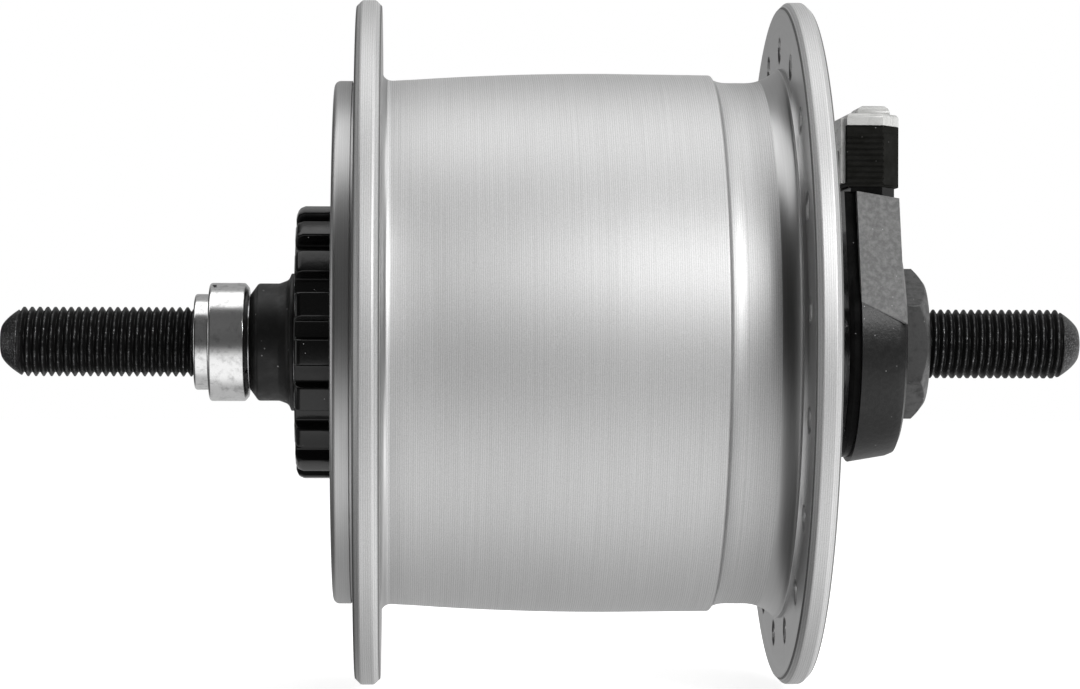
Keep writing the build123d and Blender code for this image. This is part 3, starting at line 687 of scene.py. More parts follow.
@dataclass(frozen=True)
class DullRubber:
    """Black moulded rubber with a grey bloom and a few specks."""

    colour: Colour = (0.004, 0.004, 0.004)
    bloom: Colour = (0.011, 0.011, 0.011)
    roughness: float = 0.5
    bloom_gloss: float = 0.1
    specular: float = 0.4
    blooms: Pattern = Pattern(0.7, 4.0, 0.65)
    bloom_ramp: Ramp = (0.4, 0.75)
    speck: Colour = (0.4, 0.4, 0.4)
    specks: Marks = Marks(0.75, 0.09, 0.6)
    grain: Pattern = Pattern(4.0, 2.0, 0.6)
    grain_depth: float = 0.015

    def material(self, name: str) -> bpy.types.Material:
        """Make the material.

        Args:
            name: Name of the material.

        Returns:
            The material.
        """
        surface = Surface(name)
        where = surface.place()
        bloom = surface.noise(where, self.blooms).step(*self.bloom_ramp)
        specks = surface.specks(where, self.specks)
        surface.relief(surface.noise(where, self.grain), self.grain_depth)
        return surface.finish(
            base_color=surface.colour(specks, surface.colour(bloom, self.colour, self.bloom), self.speck),
            roughness=self.roughness - bloom * self.bloom_gloss,
            specular_ior_level=self.specular,
        )


@dataclass(frozen=True)
class PlatedSteel:
    """Steel with a dull plating, brushed lightly and scratched here and there."""

    colour: Colour = (0.10, 0.10, 0.10)
    stain: Colour = (0.045, 0.045, 0.045)
    metallic: float = 0.8
    roughness: float = 0.40
    stain_roughness: float = 0.14
    stains: Pattern = Pattern(0.8, 5.0, 0.65)
    stain_ramp: Ramp = (0.35, 0.75)
    lines_per_mm: float = 2.5
    line_turn: float = 6.0
    line_depth: float = 0.008
    scratch: Colour = (0.7, 0.7, 0.7)
    scratches: Marks = Marks(0.9, 0.06, 0.7)

    def material(self, name: str) -> bpy.types.Material:
        """Make the material.

        Args:
            name: Name of the material.

        Returns:
            The material.
        """
        surface = Surface(name)
        where = surface.place()
        cloud = surface.noise(where, self.stains).step(*self.stain_ramp)
        scratch = surface.specks(where, self.scratches)
        surface.relief(surface.lines(self.lines_per_mm, self.line_turn), self.line_depth)
        return surface.finish(
            base_color=surface.colour(scratch, surface.colour(cloud, self.colour, self.stain), self.scratch),
            metallic=self.metallic,
            roughness=self.roughness + (cloud - 0.5) * self.stain_roughness,
        )


@dataclass(frozen=True)
class WoundCopper:
    """Turns of enamelled wire laid side by side, with painted shade in the valleys between them."""

    colour: Colour = (0.62, 0.24, 0.10)
    # Painted shade: a darker copper laid in the valleys between the turns.
    painted_valley_shade: Colour = (0.16, 0.05, 0.02)
    painted_valley_shade_ramp: Ramp = (0.05, 0.45)
    wire_pitch: float = 0.65
    wire_height: float = 0.12
    metallic: float = 0.9
    roughness: float = 0.26
    cloud_roughness: float = 0.14
    clouds: Pattern = Pattern(0.4)
    enamel_coat: float = 0.5

    def material(self, name: str) -> bpy.types.Material:
        """Make the material.

        Args:
            name: Name of the material.

        Returns:
            The material.
        """
        surface = Surface(name)
        x, radius, _ = surface.radial()
        wave = ((x + radius) * (2 * math.pi / self.wire_pitch)).sine() * 0.5 + 0.5
        cloud = surface.noise(surface.place(), self.clouds)
        surface.relief(wave, self.wire_height)
        # The valleys between the turns get the painted shade colour; the crowns of the turns keep the copper
        # colour.
        return surface.finish(
            base_color=surface.colour(wave.step(*self.painted_valley_shade_ramp), self.painted_valley_shade, self.colour),
            metallic=self.metallic,
            roughness=self.roughness + cloud * self.cloud_roughness,
            coat_weight=self.enamel_coat,
        )


@dataclass(frozen=True)
class PaleFloor:
    """White table top that is bright by itself, less so towards the front."""

    colour: Colour = (0.7, 0.7, 0.7)
    speckle: Colour = (0.74, 0.74, 0.74)
    speckles: Pattern = Pattern(0.02)
    roughness: float = 0.9
    glow_front: float = 0.2
    glow_back: float = 0.8
    fade_ramp: Ramp = (-75.0, -5.0)

    def material(self, name: str) -> bpy.types.Material:
        """Make the material.

        Args:
            name: Name of the material.

        Returns:
            The material.
        """
        surface = Surface(name)
        _, y, _ = surface.axes()
        speckle = surface.noise(surface.place(), self.speckles)
        fade = y.step(*self.fade_ramp) * (self.glow_back - self.glow_front) + self.glow_front
        return surface.finish(
            base_color=surface.colour(speckle, self.colour, self.speckle),
            roughness=self.roughness,
            emission_color=surface.colour(fade, (0.0, 0.0, 0.0), (1.0, 1.0, 1.0)),
            emission_strength=1.0,
        )


@dataclass(frozen=True)
class Corner:
    """Corner of a turned outline: its place along the axle, its radius and its rounding."""

    x: float
    radius: float
    rounding: float = 0.0

    def point(self) -> Vector:
        """Corner as a flat point."""
        return Vector((self.x, self.radius))


class Maker:
    """Meshes made in the shared frame from sizes in millimetres."""

    sharp_degrees = 32.0
    bevel_degrees = 28.0
    flat_degrees = 0.4
    flat_face_weight = 80
    weld_distance = 0.0005
    most_share = 0.49

    @classmethod
    def settle(cls, piece: bpy.types.Object) -> bpy.types.Object:
        """Shade a piece smooth, with its sharp edges kept.

        Args:
            piece: The piece.

        Returns:
            The same piece.
        """
        mesh = piece.data
        mesh.polygons.foreach_set("use_smooth", [True] * len(mesh.polygons))
        mesh.set_sharp_from_angle(angle=math.radians(cls.sharp_degrees))
        weighted = piece.modifiers.new("flat_faces", "WEIGHTED_NORMAL")
        weighted.keep_sharp = True
        weighted.weight = cls.flat_face_weight
        return cls.baked(piece)

    @staticmethod
    def placed(name: str, build: bmesh.types.BMesh) -> bpy.types.Object:
        """Put a bmesh into the scene.

        Args:
            name: Name of the object.
            build: The mesh, in metres.

        Returns:
            The object.
        """
        mesh = bpy.data.meshes.new(name)
        build.to_mesh(mesh)
        build.free()
        piece = bpy.data.objects.new(name, mesh)
        bpy.context.scene.collection.objects.link(piece)
        return piece

    @classmethod
    def piece(cls, name: str, build: bmesh.types.BMesh) -> bpy.types.Object:
        """Turn a bmesh into a piece of the scene.

        Args:
            name: Name of the piece.
            build: The mesh, in millimetres.

        Returns:
            The piece.
        """
        bmesh.ops.scale(build, vec=(MM, MM, MM), verts=build.verts)
        bmesh.ops.recalc_face_normals(build, faces=build.faces)
        return cls.settle(cls.placed(name, build))

    @staticmethod
    def bridge(build: bmesh.types.BMesh, rings: Sequence[Sequence[bmesh.types.BMVert]]) -> None:
        """Join each ring of corners to the one after it.

        Args:
            build: The mesh.
            rings: The rings, each with as many corners.
        """
        for ring, following in zip(rings, rings[1:]):
            for index in range(len(ring)):
                other = (index + 1) % len(ring)
                build.faces.new((ring[index], ring[other], following[other], following[index]))

    @classmethod
    def rounded(cls, corners: Sequence[Corner], steps: int) -> list[Vector]:
        """Outline with its corners rounded.

        Args:
            corners: The corners in order, as a closed outline.
            steps: Runs in each rounding.

        Returns:
            Points of the outline.
        """
        points = []
        for index, corner in enumerate(corners):
            here = corner.point()
            before = corners[index - 1].point() - here
            after = corners[(index + 1) % len(corners)].point() - here
            if corner.rounding <= 0.0:
                points.append(here)
                continue
            half = before.angle(after) / 2
            longest = cls.most_share * min(before.length, after.length)
            run = min(corner.rounding / math.tan(half), longest)
            radius = run * math.tan(half)
            inward = (before.normalized() + after.normalized()).normalized()
            middle = here + inward * (radius / math.sin(half))
            start = here + before.normalized() * run - middle
            turn = start.angle_signed(here + after.normalized() * run - middle)
            for step in range(steps + 1):
                points.append(middle + Matrix.Rotation(-turn * step / steps, 2) @ start)
        return points

    @classmethod
    def turned(
        cls, name: str, corners: Sequence[Corner], segments: int = 160, steps: int = 5
    ) -> bpy.types.Object:
        """Piece turned about the axle.

        Args:
            name: Name of the piece.
            corners: Its closed outline.
            segments: Runs round the axle.
            steps: Runs in each rounding.

        Returns:
            The piece.
        """
        outline = cls.rounded(corners, steps)
        build = bmesh.new()
        rings = []
        for segment in range(segments):
            angle = 2 * math.pi * segment / segments
            side, up = math.sin(angle), math.cos(angle)
            rings.append([build.verts.new((p.x, -p.y * side, p.y * up)) for p in outline])
        cls.bridge(build, rings + rings[:1])
        return cls.piece(name, build)

    @staticmethod
    def baked(piece: bpy.types.Object) -> bpy.types.Object:
        """Turn a piece's modifiers into its mesh.

        Args:
            piece: The piece.

        Returns:
            The same piece.
        """
        graph = bpy.context.evaluated_depsgraph_get()
        mesh = bpy.data.meshes.new_from_object(piece.evaluated_get(graph))
        piece.modifiers.clear()
        piece.data = mesh
        return piece

    @classmethod
    def cut(cls, piece: bpy.types.Object, cutter: bpy.types.Object) -> bpy.types.Object:
        """Cut one piece with another, which is then removed.

        Args:
            piece: The piece to cut.
            cutter: The shape to take away.

        Returns:
            The cut piece.
        """
        boolean = piece.modifiers.new("cut", "BOOLEAN")
        boolean.operation = "DIFFERENCE"
        boolean.solver = "MANIFOLD"
        boolean.object = cutter
        cls.baked(piece)
        bpy.data.objects.remove(cutter)
        return cls.settle(piece)

    @classmethod
    def block(cls, name: str, low: Sequence[float], high: Sequence[float]) -> bpy.types.Object:
        """Box between two corners, used to cut other pieces.

        Args:
            name: Name of the box.
            low: Lowest corner.
            high: Highest corner.

        Returns:
            The box.
        """
        build = bmesh.new()
        bmesh.ops.create_cube(build, size=1.0)
        for vertex in build.verts:
            vertex.co = Vector([high[i] if vertex.co[i] > 0 else low[i] for i in range(3)])
        return cls.piece(name, build)

    @classmethod
    def softened(
        cls,
        node: str,
        name: str,
        edge: float,
        segments: int = 2,
        rise: Callable[[Vector], float] | None = None,
    ) -> bpy.types.Object:
        """Copy of a CAD node with its flat faces joined up and its edges rounded.

        Args:
            node: Name of the CAD node.
            name: Name of the new piece.
            edge: Width of the rounding.
            segments: Runs across the rounding.
            rise: Gives how far a corner at a place moves up, all in millimetres.

        Returns:
            The new piece.
        """
        build = bmesh.new()
        build.from_mesh(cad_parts[node].data)
        bmesh.ops.remove_doubles(build, verts=build.verts, dist=cls.weld_distance * MM)
        if rise:
            for vert in build.verts:
                vert.co.z += rise(vert.co / MM) * MM
        flat = math.radians(cls.flat_degrees)
        bmesh.ops.dissolve_limit(build, angle_limit=flat, verts=build.verts, edges=build.edges)
        piece = cls.placed(name, build)
        bevel = piece.modifiers.new("edges", "BEVEL")
        bevel.width = edge * MM
        bevel.segments = segments
        bevel.limit_method = "ANGLE"
        bevel.angle_limit = math.radians(cls.bevel_degrees)
        bevel.use_clamp_overlap = True
        cls.baked(piece)
        return cls.settle(piece)

    @staticmethod
    def dress(
        piece: bpy.types.Object, material: bpy.types.Material, body: Body, slot: str, *nodes: str
    ) -> bpy.types.Object:
        """Give a piece its material, its body and the nodes that it stands for.

        Args:
            piece: The piece.
            material: Its material.
            body: The CAD body that it rides on.
            slot: Name of a material slot; not used.
            nodes: CAD nodes that it replaces.

        Returns:
            The piece.
        """
        piece.data.materials.clear()
        piece.data.materials.append(material)
        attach(piece, body.value)
        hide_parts(*nodes)
        LOG.info("%s: %d faces", piece.name, len(piece.data.polygons))
        return piece


def low_x(node: str) -> float:
    """Lowest x of a CAD node, in millimetres."""
    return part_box(node)[0][0] / MM


def high_x(node: str) -> float:
    """Highest x of a CAD node, in millimetres."""
    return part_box(node)[1][0] / MM


def reach(node: str) -> float:
    """Largest radius of a turned CAD node about the axle, in millimetres."""
    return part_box(node)[1][2] / MM


@dataclass
class ThreadedAxle:
    """Axle with a cut thread on both free ends."""

    pitch: float = 1.0
    thread_radius: float = 4.5
    root_radius: float = 3.92
    body_radius: float = 5.2
    tip_length: float = 2.9
    tip_radius: float = 1.6
    tip_power: float = 0.6
    segments: int = 72
    steps_per_turn: int = 10
    covered_length: float = 3.0
    groove_width: float = 1.5
    groove_floor: float = 2.9
    root_share: float = 0.1
    flank_share: float = 0.72
    nut_overlap: float = 1.5
    lead_overrun: float = 0.5
    key_clearance: float = 0.05
    ring_gap: float = 0.001
    body_left: float = field(init=False)
    body_right: float = field(init=False)
    left_cover: float = field(init=False)
    right_cover: float = field(init=False)
    half: float = field(init=False)

    def __post_init__(self) -> None:
        """Read the places that the frame gives."""
        self.left_cover = low_x("left_lock_nut") + self.covered_length
        self.right_cover = high_x("right_lock_nut") - self.covered_length
        self.half = high_x("axle")
        self.body_left = low_x("stator_clamp_nuts") - self.nut_overlap
        self.body_right = high_x("stator_clamp_nuts") + self.nut_overlap

    def thread(self, x: float, turn: float) -> float:
        """Radius of the thread at one place.

        Args:
            x: Place along the axle.
            turn: Part of a turn about the axle, from zero to one.

        Returns:
            The radius.
        """
        phase = (x / self.pitch + turn) % 1.0
        flank = abs(phase - 0.5) * 2
        share = min(max((flank - self.root_share) / self.flank_share, 0.0), 1.0)
        return self.root_radius + (self.thread_radius - self.root_radius) * share

    def radius(self, x: float, turn: float) -> float:
        """Radius of the axle at one place.

        Args:
            x: Place along the axle.
            turn: Part of a turn about the axle.

        Returns:
            The radius.
        """
        if self.body_left < x < self.body_right:
            return self.body_radius
        if self.left_cover < x < self.right_cover:
            return self.thread_radius
        inset = min(max(self.half - abs(x), 0.0) / self.tip_length, 1.0)
        tip = self.tip_radius + (self.thread_radius - self.tip_radius) * inset**self.tip_power
        return min(tip, self.thread(x, turn))

    def stations(self) -> list[float]:
        """Places along the axle where the mesh has a ring."""
        step = self.pitch / self.steps_per_turn
        left_count = round((self.left_cover + self.half) / step)
        right_count = round((self.half - self.right_cover) / step)
        return [
            *(index * step - self.half for index in range(left_count + 1)),
            self.left_cover + self.ring_gap,
            self.body_left,
            self.body_left + self.ring_gap,
            self.body_right - self.ring_gap,
            self.body_right,
            self.right_cover - self.ring_gap,
            *(self.half - (right_count - index) * step for index in range(right_count + 1)),
        ]

    def build(self) -> bpy.types.Object:
        """Make the axle's mesh.

        Returns:
            The axle, with its groove and keyway cut.
        """
        build = bmesh.new()
        rings = []
        for x in self.stations():
            ring = []
            for segment in range(self.segments):
                turn = segment / self.segments
                radius = self.radius(x, turn)
                angle = 2 * math.pi * turn
                ring.append(build.verts.new((x, -radius * math.sin(angle), radius * math.cos(angle))))
            rings.append(ring)
        Maker.bridge(build, rings)
        for end in (rings[0], rings[-1]):
            build.faces.new(end)
        axle = Maker.piece("axle_threaded", build)
        half_groove = self.groove_width / 2
        groove_low = (high_x("coil_bobbin"), -half_groove, self.groove_floor)
        groove_high = (high_x("winding_lead") + self.lead_overrun, half_groove, 2 * self.body_radius)
        Maker.cut(axle, Maker.block("groove", groove_low, groove_high))
        low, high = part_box("stator_key")
        key_low = [value / MM - self.key_clearance for value in low]
        key_high = [value / MM + self.key_clearance for value in high]
        return Maker.cut(axle, Maker.block("keyway", key_low, key_high))

    def dress(self) -> None:
        """Build the axle and give it its finish."""
        finish = BlackThread(self.thread_radius, self.half - self.tip_length)
        Maker.dress(self.build(), finish.material("black_thread"), Body.AXLE, "black_steel", "axle")


@dataclass
class BrakeSide:
    """Stepped lock nut, rubber boot and splined carrier."""

    nose_radius: float = 6.2
    nose_length: float = 1.9
    nose_round: float = 0.35
    step_round: float = 0.12
    nut_bore: float = 4.55
    nut_round: float = 0.4
    nut_face_round: float = 0.2
    nut_chamfer: float = 0.5
    nut_chamfer_fall: float = 0.6
    boot_bore: float = 5.65
    boot_end_radius: float = 6.1
    boot_end_round: float = 0.25
    boot_radius: float = 7.6
    boot_chamfer: float = 1.1
    boot_chamfer_round: float = 0.5
    boot_barrel: float = 2.7
    boot_flare: float = 0.45
    boot_flare_length: float = 0.35
    boot_flare_round: float = 0.9
    boot_lip: float = 0.45
    boot_lip_round: float = 0.15
    boot_face_round: float = 0.1
    spline_edge: float = 0.22

    def nut(self) -> bpy.types.Object:
        """Make the stepped nut.

        Returns:
            The nut.
        """
        start, end, radius = low_x("left_lock_nut"), high_x("left_lock_nut"), reach("left_lock_nut")
        step = start + self.nose_length
        return Maker.turned(
            "left_nut",
            [
                Corner(start, self.nut_bore + self.nut_chamfer),
                Corner(start, self.nose_radius, self.nose_round),
                Corner(step, self.nose_radius, self.step_round),
                Corner(step, radius, self.nut_round),
                Corner(end - self.nut_chamfer, radius, self.nut_round),
                Corner(end, radius - self.nut_chamfer_fall, self.nut_face_round),
                Corner(end, self.nut_bore),
                Corner(start + self.nut_chamfer, self.nut_bore),
            ],
        )

    def boot(self) -> bpy.types.Object:
        """Make the rubber boot.

        Returns:
            The boot.
        """
        start, end, lip = low_x("left_cone_boot"), high_x("left_cone_boot"), reach("left_cone_boot")
        chamfer = start + self.boot_chamfer
        lip_start = end - self.boot_lip
        return Maker.turned(
            "boot",
            [
                Corner(start, self.boot_bore),
                Corner(start, self.boot_end_radius, self.boot_end_round),
                Corner(chamfer, self.boot_radius, self.boot_chamfer_round),
                Corner(chamfer + self.boot_barrel, self.boot_radius, self.boot_flare_round),
                Corner(
                    lip_start - self.boot_flare_length,
                    self.boot_radius + self.boot_flare,
                    self.boot_flare_round,
                ),
                Corner(lip_start, lip, self.boot_lip_round),
                Corner(end, lip, self.boot_face_round),
                Corner(end, self.boot_bore),
            ],
        )

    def dress(self) -> None:
        """Build the three pieces and give them their finishes."""
        steel = PolishedSteel().material("polished_nut")
        Maker.dress(self.nut(), steel, Body.AXLE, "bright_steel", "left_lock_nut")
        rubber = DullRubber().material("boot_rubber")
        Maker.dress(self.boot(), rubber, Body.AXLE, "black_rubber", "left_cone_boot")
        carrier = Maker.softened("brake_spline_ring", "spline_carrier", self.spline_edge, segments=3)
        enamel = BlackEnamel().material("carrier_enamel")
        Maker.dress(carrier, enamel, Body.SHELL, "black_painted_steel", "brake_spline_ring")


@dataclass
class SpokeHoles:
    """Countersunk spoke holes of one flange."""

    flange_low: float
    flange_high: float
    phase_degrees: float
    count: int = 18
    circle_radius: float = 38.0
    radius: float = 1.45
    countersink: float = 0.35
    overrun: float = 0.1
    segments: int = 32

    def ring(
        self, build: bmesh.types.BMesh, angle: float, x: float, radius: float
    ) -> list[bmesh.types.BMVert]:
        """Lay one ring of corners round a hole's middle.

        Args:
            build: The mesh.
            angle: The hole's place on its circle, in radians.
            x: Place along the axle.
            radius: Radius of the ring.

        Returns:
            The corners.
        """
        centre_y = -self.circle_radius * math.sin(angle)
        centre_z = self.circle_radius * math.cos(angle)
        ring = []
        for segment in range(self.segments):
            turn = 2 * math.pi * segment / self.segments
            y = centre_y + radius * math.cos(turn)
            ring.append(build.verts.new((x, y, centre_z + radius * math.sin(turn))))
        return ring

    def cutter(self) -> bpy.types.Object:
        """Make one shape that cuts all the holes.

        Returns:
            The cutter.
        """
        build = bmesh.new()
        wide = self.radius + self.countersink + self.overrun
        profile = [
            (self.flange_low - self.overrun, wide),
            (self.flange_low + self.countersink, self.radius),
            (self.flange_high - self.countersink, self.radius),
            (self.flange_high + self.overrun, wide),
        ]
        for hole in range(self.count):
            angle = math.radians(self.phase_degrees + 360.0 * hole / self.count)
            rings = [self.ring(build, angle, x, radius) for x, radius in profile]
            Maker.bridge(build, rings)
            build.faces.new(rings[0])
            build.faces.new(rings[-1])
        return Maker.piece("spoke_cutter", build)


@dataclass
class TurnedShell:
    """Turned aluminium shell with both flanges."""

    shoulder_radius: float = 33.8
    shoulder_length: float = 2.8
    shoulder_round: float = 0.8
    barrel_radius: float = 34.9
    crown_share: float = 0.33
    crown_steps: int = 9
    crown_round: float = 0.5
    flange_radius: float = 44.2
    flange_thickness: float = 3.3
    flange_edge: float = 0.8
    edge_round: float = 0.25
    rim_round: float = 0.5
    root_fillet: float = 1.25
    root_groove: float = 0.45
    groove_round: float = 0.1
    step_length: float = 2.2
    step_wall: float = 0.3
    step_fall: float = 0.12
    step_round: float = 0.3
    cove_degrees: float = 26.0
    hollow_steps: int = 9
    cap_land: float = 7.0
    cap_fillet: float = 5.8
    cap_fillet_degrees: float = 44.0
    cap_steps: int = 8
    lip_width: float = 0.5
    lip_height: float = 1.85
    lip_round: float = 0.12
    seam_round: float = 0.03
    dish_depth: float = 1.4
    dish_bevel: float = 1.5
    dish_edge_round: float = 0.3
    dish_round: float = 0.4
    rim_land: float = 7.6
    cup_seat: float = 13.22
    cup_shoulder: float = 11.0
    shell_bore: float = 31.6
    inner_bore: float = 29.8
    boss_radius: float = 16.0
    boss_end_radius: float = 14.6
    boss_round: float = 0.3
    boss_length: float = 2.5
    wall: float = 3.0
    cap_wall: float = 2.8
    spigot_wall: float = 2.6
    spigot_play: float = 0.02
    seam_groove: float = 0.9
    seam_groove_play: float = 0.05
    segments: int = 288
    phase_degrees: float = 4.0

    def hollow(self, foot: float, radius: float, first_degrees: float, last_degrees: float) -> list[Corner]:
        """Hollow sweep that stands on the shoulder's cylinder.

        Args:
            foot: Place along the axle of the sweep's lowest point.
            radius: Radius of the sweep.
            first_degrees: Slope where it starts.
            last_degrees: Slope where it ends.

        Returns:
            Corners of the sweep.
        """
        corners = []
        for index in range(self.hollow_steps + 1):
            share = index / self.hollow_steps
            angle = math.radians(first_degrees + (last_degrees - first_degrees) * share)
            height = radius * (1 - math.cos(angle))
            corners.append(Corner(foot + radius * math.sin(angle), self.shoulder_radius + height))
        return corners

    def crown(self, start: float, end: float) -> list[Corner]:
        """Swelling of the barrel.

        Args:
            start: Where it leaves the shoulder's radius.
            end: Where it reaches the barrel's radius.

        Returns:
            Corners of the swelling, up to its end.
        """
        rise = self.barrel_radius - self.shoulder_radius
        corners = []
        for index in range(1, self.crown_steps):
            share = index / self.crown_steps
            lift = rise * (1 - (1 - share) ** 2)
            corners.append(Corner(start + (end - start) * share, self.shoulder_radius + lift))
        return [*corners, Corner(end, self.barrel_radius, self.crown_round)]

    def rim(self, low: float, high: float) -> list[Corner]:
        """Rounded and bevelled edge of a flange.

        Args:
            low: The flange's lowest place along the axle.
            high: Its highest place.

        Returns:
            Corners of the edge.
        """
        bevel_radius = self.flange_radius - self.flange_edge
        return [
            Corner(low, bevel_radius, self.edge_round),
            Corner(low + self.flange_edge, self.flange_radius, self.rim_round),
            Corner(high - self.flange_edge, self.flange_radius, self.rim_round),
            Corner(high, bevel_radius, self.edge_round),
        ]

    def brake_half(self) -> bpy.types.Object:
        """Make the shell with the brake side flange.

        Returns:
            The shell.
        """
        start, seam = low_x("hub_shell"), high_x("hub_shell")
        flange = start + self.shoulder_length
        inner = flange + self.flange_thickness
        barrel = inner + self.root_fillet
        step = seam - self.step_length
        cup_stop = high_x("left_bearing_cup")
        magnets = low_x("pole_magnets")
        wall = start + self.wall
        boss = wall + self.boss_length
        groove = flange - self.root_groove
        groove_radius = self.shoulder_radius - self.root_groove
        cove = (self.step_length - self.step_wall) / math.sin(math.radians(self.cove_degrees))
        corners = [
            Corner(start, self.cup_seat),
            Corner(start, self.shoulder_radius, self.shoulder_round),
            Corner(groove, self.shoulder_radius, self.groove_round),
            Corner(groove, groove_radius),
            Corner(flange, groove_radius),
            *self.rim(flange, inner),
            Corner(inner, self.shoulder_radius, self.root_fillet),
            *self.crown(barrel, step - (step - barrel) * self.crown_share),
            Corner(step, self.barrel_radius - self.step_fall, self.step_round),
            *self.hollow(seam, cove, -self.cove_degrees, 0.0),
            Corner(seam, self.shell_bore),
            Corner(magnets, self.shell_bore),
            Corner(magnets, self.inner_bore),
            Corner(wall, self.inner_bore),
            Corner(wall, self.boss_radius),
            Corner(boss, self.boss_radius),
            Corner(boss, self.cup_shoulder),
            Corner(cup_stop, self.cup_shoulder),
            Corner(cup_stop, self.cup_seat),
        ]
        shell = Maker.turned("shell_turned", corners, self.segments)
        half_pitch = 180.0 / SpokeHoles.count
        holes = SpokeHoles(flange, inner, self.phase_degrees + half_pitch)
        return Maker.cut(shell, holes.cutter())

    def connector_half(self) -> bpy.types.Object:
        """Make the cap with the connector side flange.

        Returns:
            The cap.
        """
        spigot, boss_end = low_x("shell_cap"), high_x("shell_cap")
        seam = high_x("hub_shell")
        spigot_radius = self.shell_bore - self.spigot_play
        spigot_bore = spigot_radius - self.spigot_wall
        groove_low = low_x("shell_seam_ring") - self.seam_groove_play
        groove_high = high_x("shell_seam_ring") + self.seam_groove_play
        groove_radius = spigot_radius - self.seam_groove
        cup_stop = low_x("right_bearing_cup")
        inner = seam + self.cap_land
        flange = inner + self.flange_thickness
        lip = inner - self.lip_width
        lip_radius = self.shoulder_radius + self.lip_height
        fillet = lip - self.cap_fillet * math.sin(math.radians(self.cap_fillet_degrees))
        dish = flange - self.dish_depth
        dish_radius = self.flange_radius - self.rim_land
        back = dish - self.cap_wall
        corners = [
            Corner(spigot, spigot_bore),
            Corner(spigot, spigot_radius),
            Corner(groove_low, spigot_radius),
            Corner(groove_low, groove_radius),
            Corner(groove_high, groove_radius),
            Corner(groove_high, spigot_radius),
            Corner(seam, spigot_radius),
            Corner(seam, self.shoulder_radius, self.seam_round),
            *self.hollow(fillet, self.cap_fillet, 0.0, self.cap_fillet_degrees),
            Corner(lip, lip_radius, self.lip_round),
            Corner(inner, lip_radius),
            *self.rim(inner, flange),
            Corner(flange, dish_radius, self.dish_edge_round),
            Corner(dish, dish_radius - self.dish_bevel, self.dish_round),
            Corner(dish, self.boss_radius, self.dish_round),
            Corner(boss_end, self.boss_end_radius, self.boss_round),
            Corner(boss_end, self.cup_seat),
            Corner(cup_stop, self.cup_seat),
            Corner(cup_stop, self.cup_shoulder),
            Corner(cup_stop - self.boss_length, self.cup_shoulder),
            Corner(cup_stop - self.boss_length, self.boss_radius),
            Corner(back, self.boss_radius),
            Corner(back, spigot_bore),
        ]
        cap = Maker.turned("cap_turned", corners, self.segments, self.cap_steps)
        return Maker.cut(cap, SpokeHoles(inner, flange, self.phase_degrees).cutter())

    def dress(self) -> None:
        """Build both halves and give them their finish."""
        metal = TurnedAluminium().material("turned_aluminium")
        Maker.dress(self.brake_half(), metal, Body.SHELL, "satin_aluminium", "hub_shell")
        Maker.dress(self.connector_half(), metal, Body.SHELL, "satin_aluminium", "shell_cap")


@dataclass
class Connector:
    """Terminal base, housing, plug and its cap, with the hexagonal lock nut."""

    seam_rise: float = 0.7
    ledge_slope: float = 0.135
    level_reach: float = 0.1
    base_edge: float = 0.12
    housing_edge: float = 0.25
    plug_edge: float = 0.08
    cap_edge: float = 0.2
    nut_edge: float = 0.14
    seam: float = field(init=False)
    ledge: float = field(init=False)
    housing_start: float = field(init=False)

    def __post_init__(self) -> None:
        """Read the places that the frame gives."""
        self.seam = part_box("connector_plug")[1][2] / MM
        self.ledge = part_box("connector_housing")[1][2] / MM
        self.housing_start = low_x("connector_housing")

    def seam_lift(self, place: Vector) -> float:
        """How far the seam between plug and cap stands above its CAD place."""
        return self.seam_rise if abs(place.z - self.seam) < self.level_reach else 0.0

    def ledge_drop(self, place: Vector) -> float:
        """How the ledge's underside falls with the slope of the housing's top."""
        beyond = max(place.x - self.housing_start, 0.0)
        return -self.ledge_slope * beyond if abs(place.z - self.ledge) < self.level_reach else 0.0

    def dress(self) -> None:
        """Build the connector's pieces and give them their finishes."""
        black = MouldedPlastic(
            colour=(0.003, 0.003, 0.003), light=(0.007, 0.007, 0.007), roughness=0.2, specular=0.02
        )
        base = Maker.softened("terminal_base", "terminal_black", self.base_edge, rise=self.ledge_drop)
        Maker.dress(base, black.material("base_black"), Body.AXLE, "black_plastic", "terminal_base")
        grey = HousingPlastic(self.housing_start)
        housing = Maker.softened("connector_housing", "housing_grey", self.housing_edge, segments=3)
        Maker.dress(housing, grey.material("housing_grey"), Body.AXLE, "grey_plastic", "connector_housing")
        plug = Maker.softened("connector_plug", "plug_black", self.plug_edge, rise=self.seam_lift)
        soft_black = MouldedPlastic(
            colour=(0.009, 0.009, 0.008), light=(0.016, 0.016, 0.015), roughness=0.3, specular=0.001
        )
        Maker.dress(plug, soft_black.material("plug_black"), Body.PLUG, "plug_plastic", "connector_plug")
        cap = Maker.softened("plug_cap", "cap_grey", self.cap_edge, segments=3, rise=self.seam_lift)
        pale = MouldedPlastic(
            colour=(0.40, 0.40, 0.39), light=(0.49, 0.49, 0.48), roughness=0.28, grain_depth=0.006
        )
        Maker.dress(cap, pale.material("cap_grey"), Body.CAP, "light_grey_plastic", "plug_cap")
        nut = Maker.softened("right_lock_nut", "right_nut", self.nut_edge)
        steel = PlatedSteel()
        Maker.dress(nut, steel.material("dark_plating"), Body.AXLE, "nut_steel", "right_lock_nut")


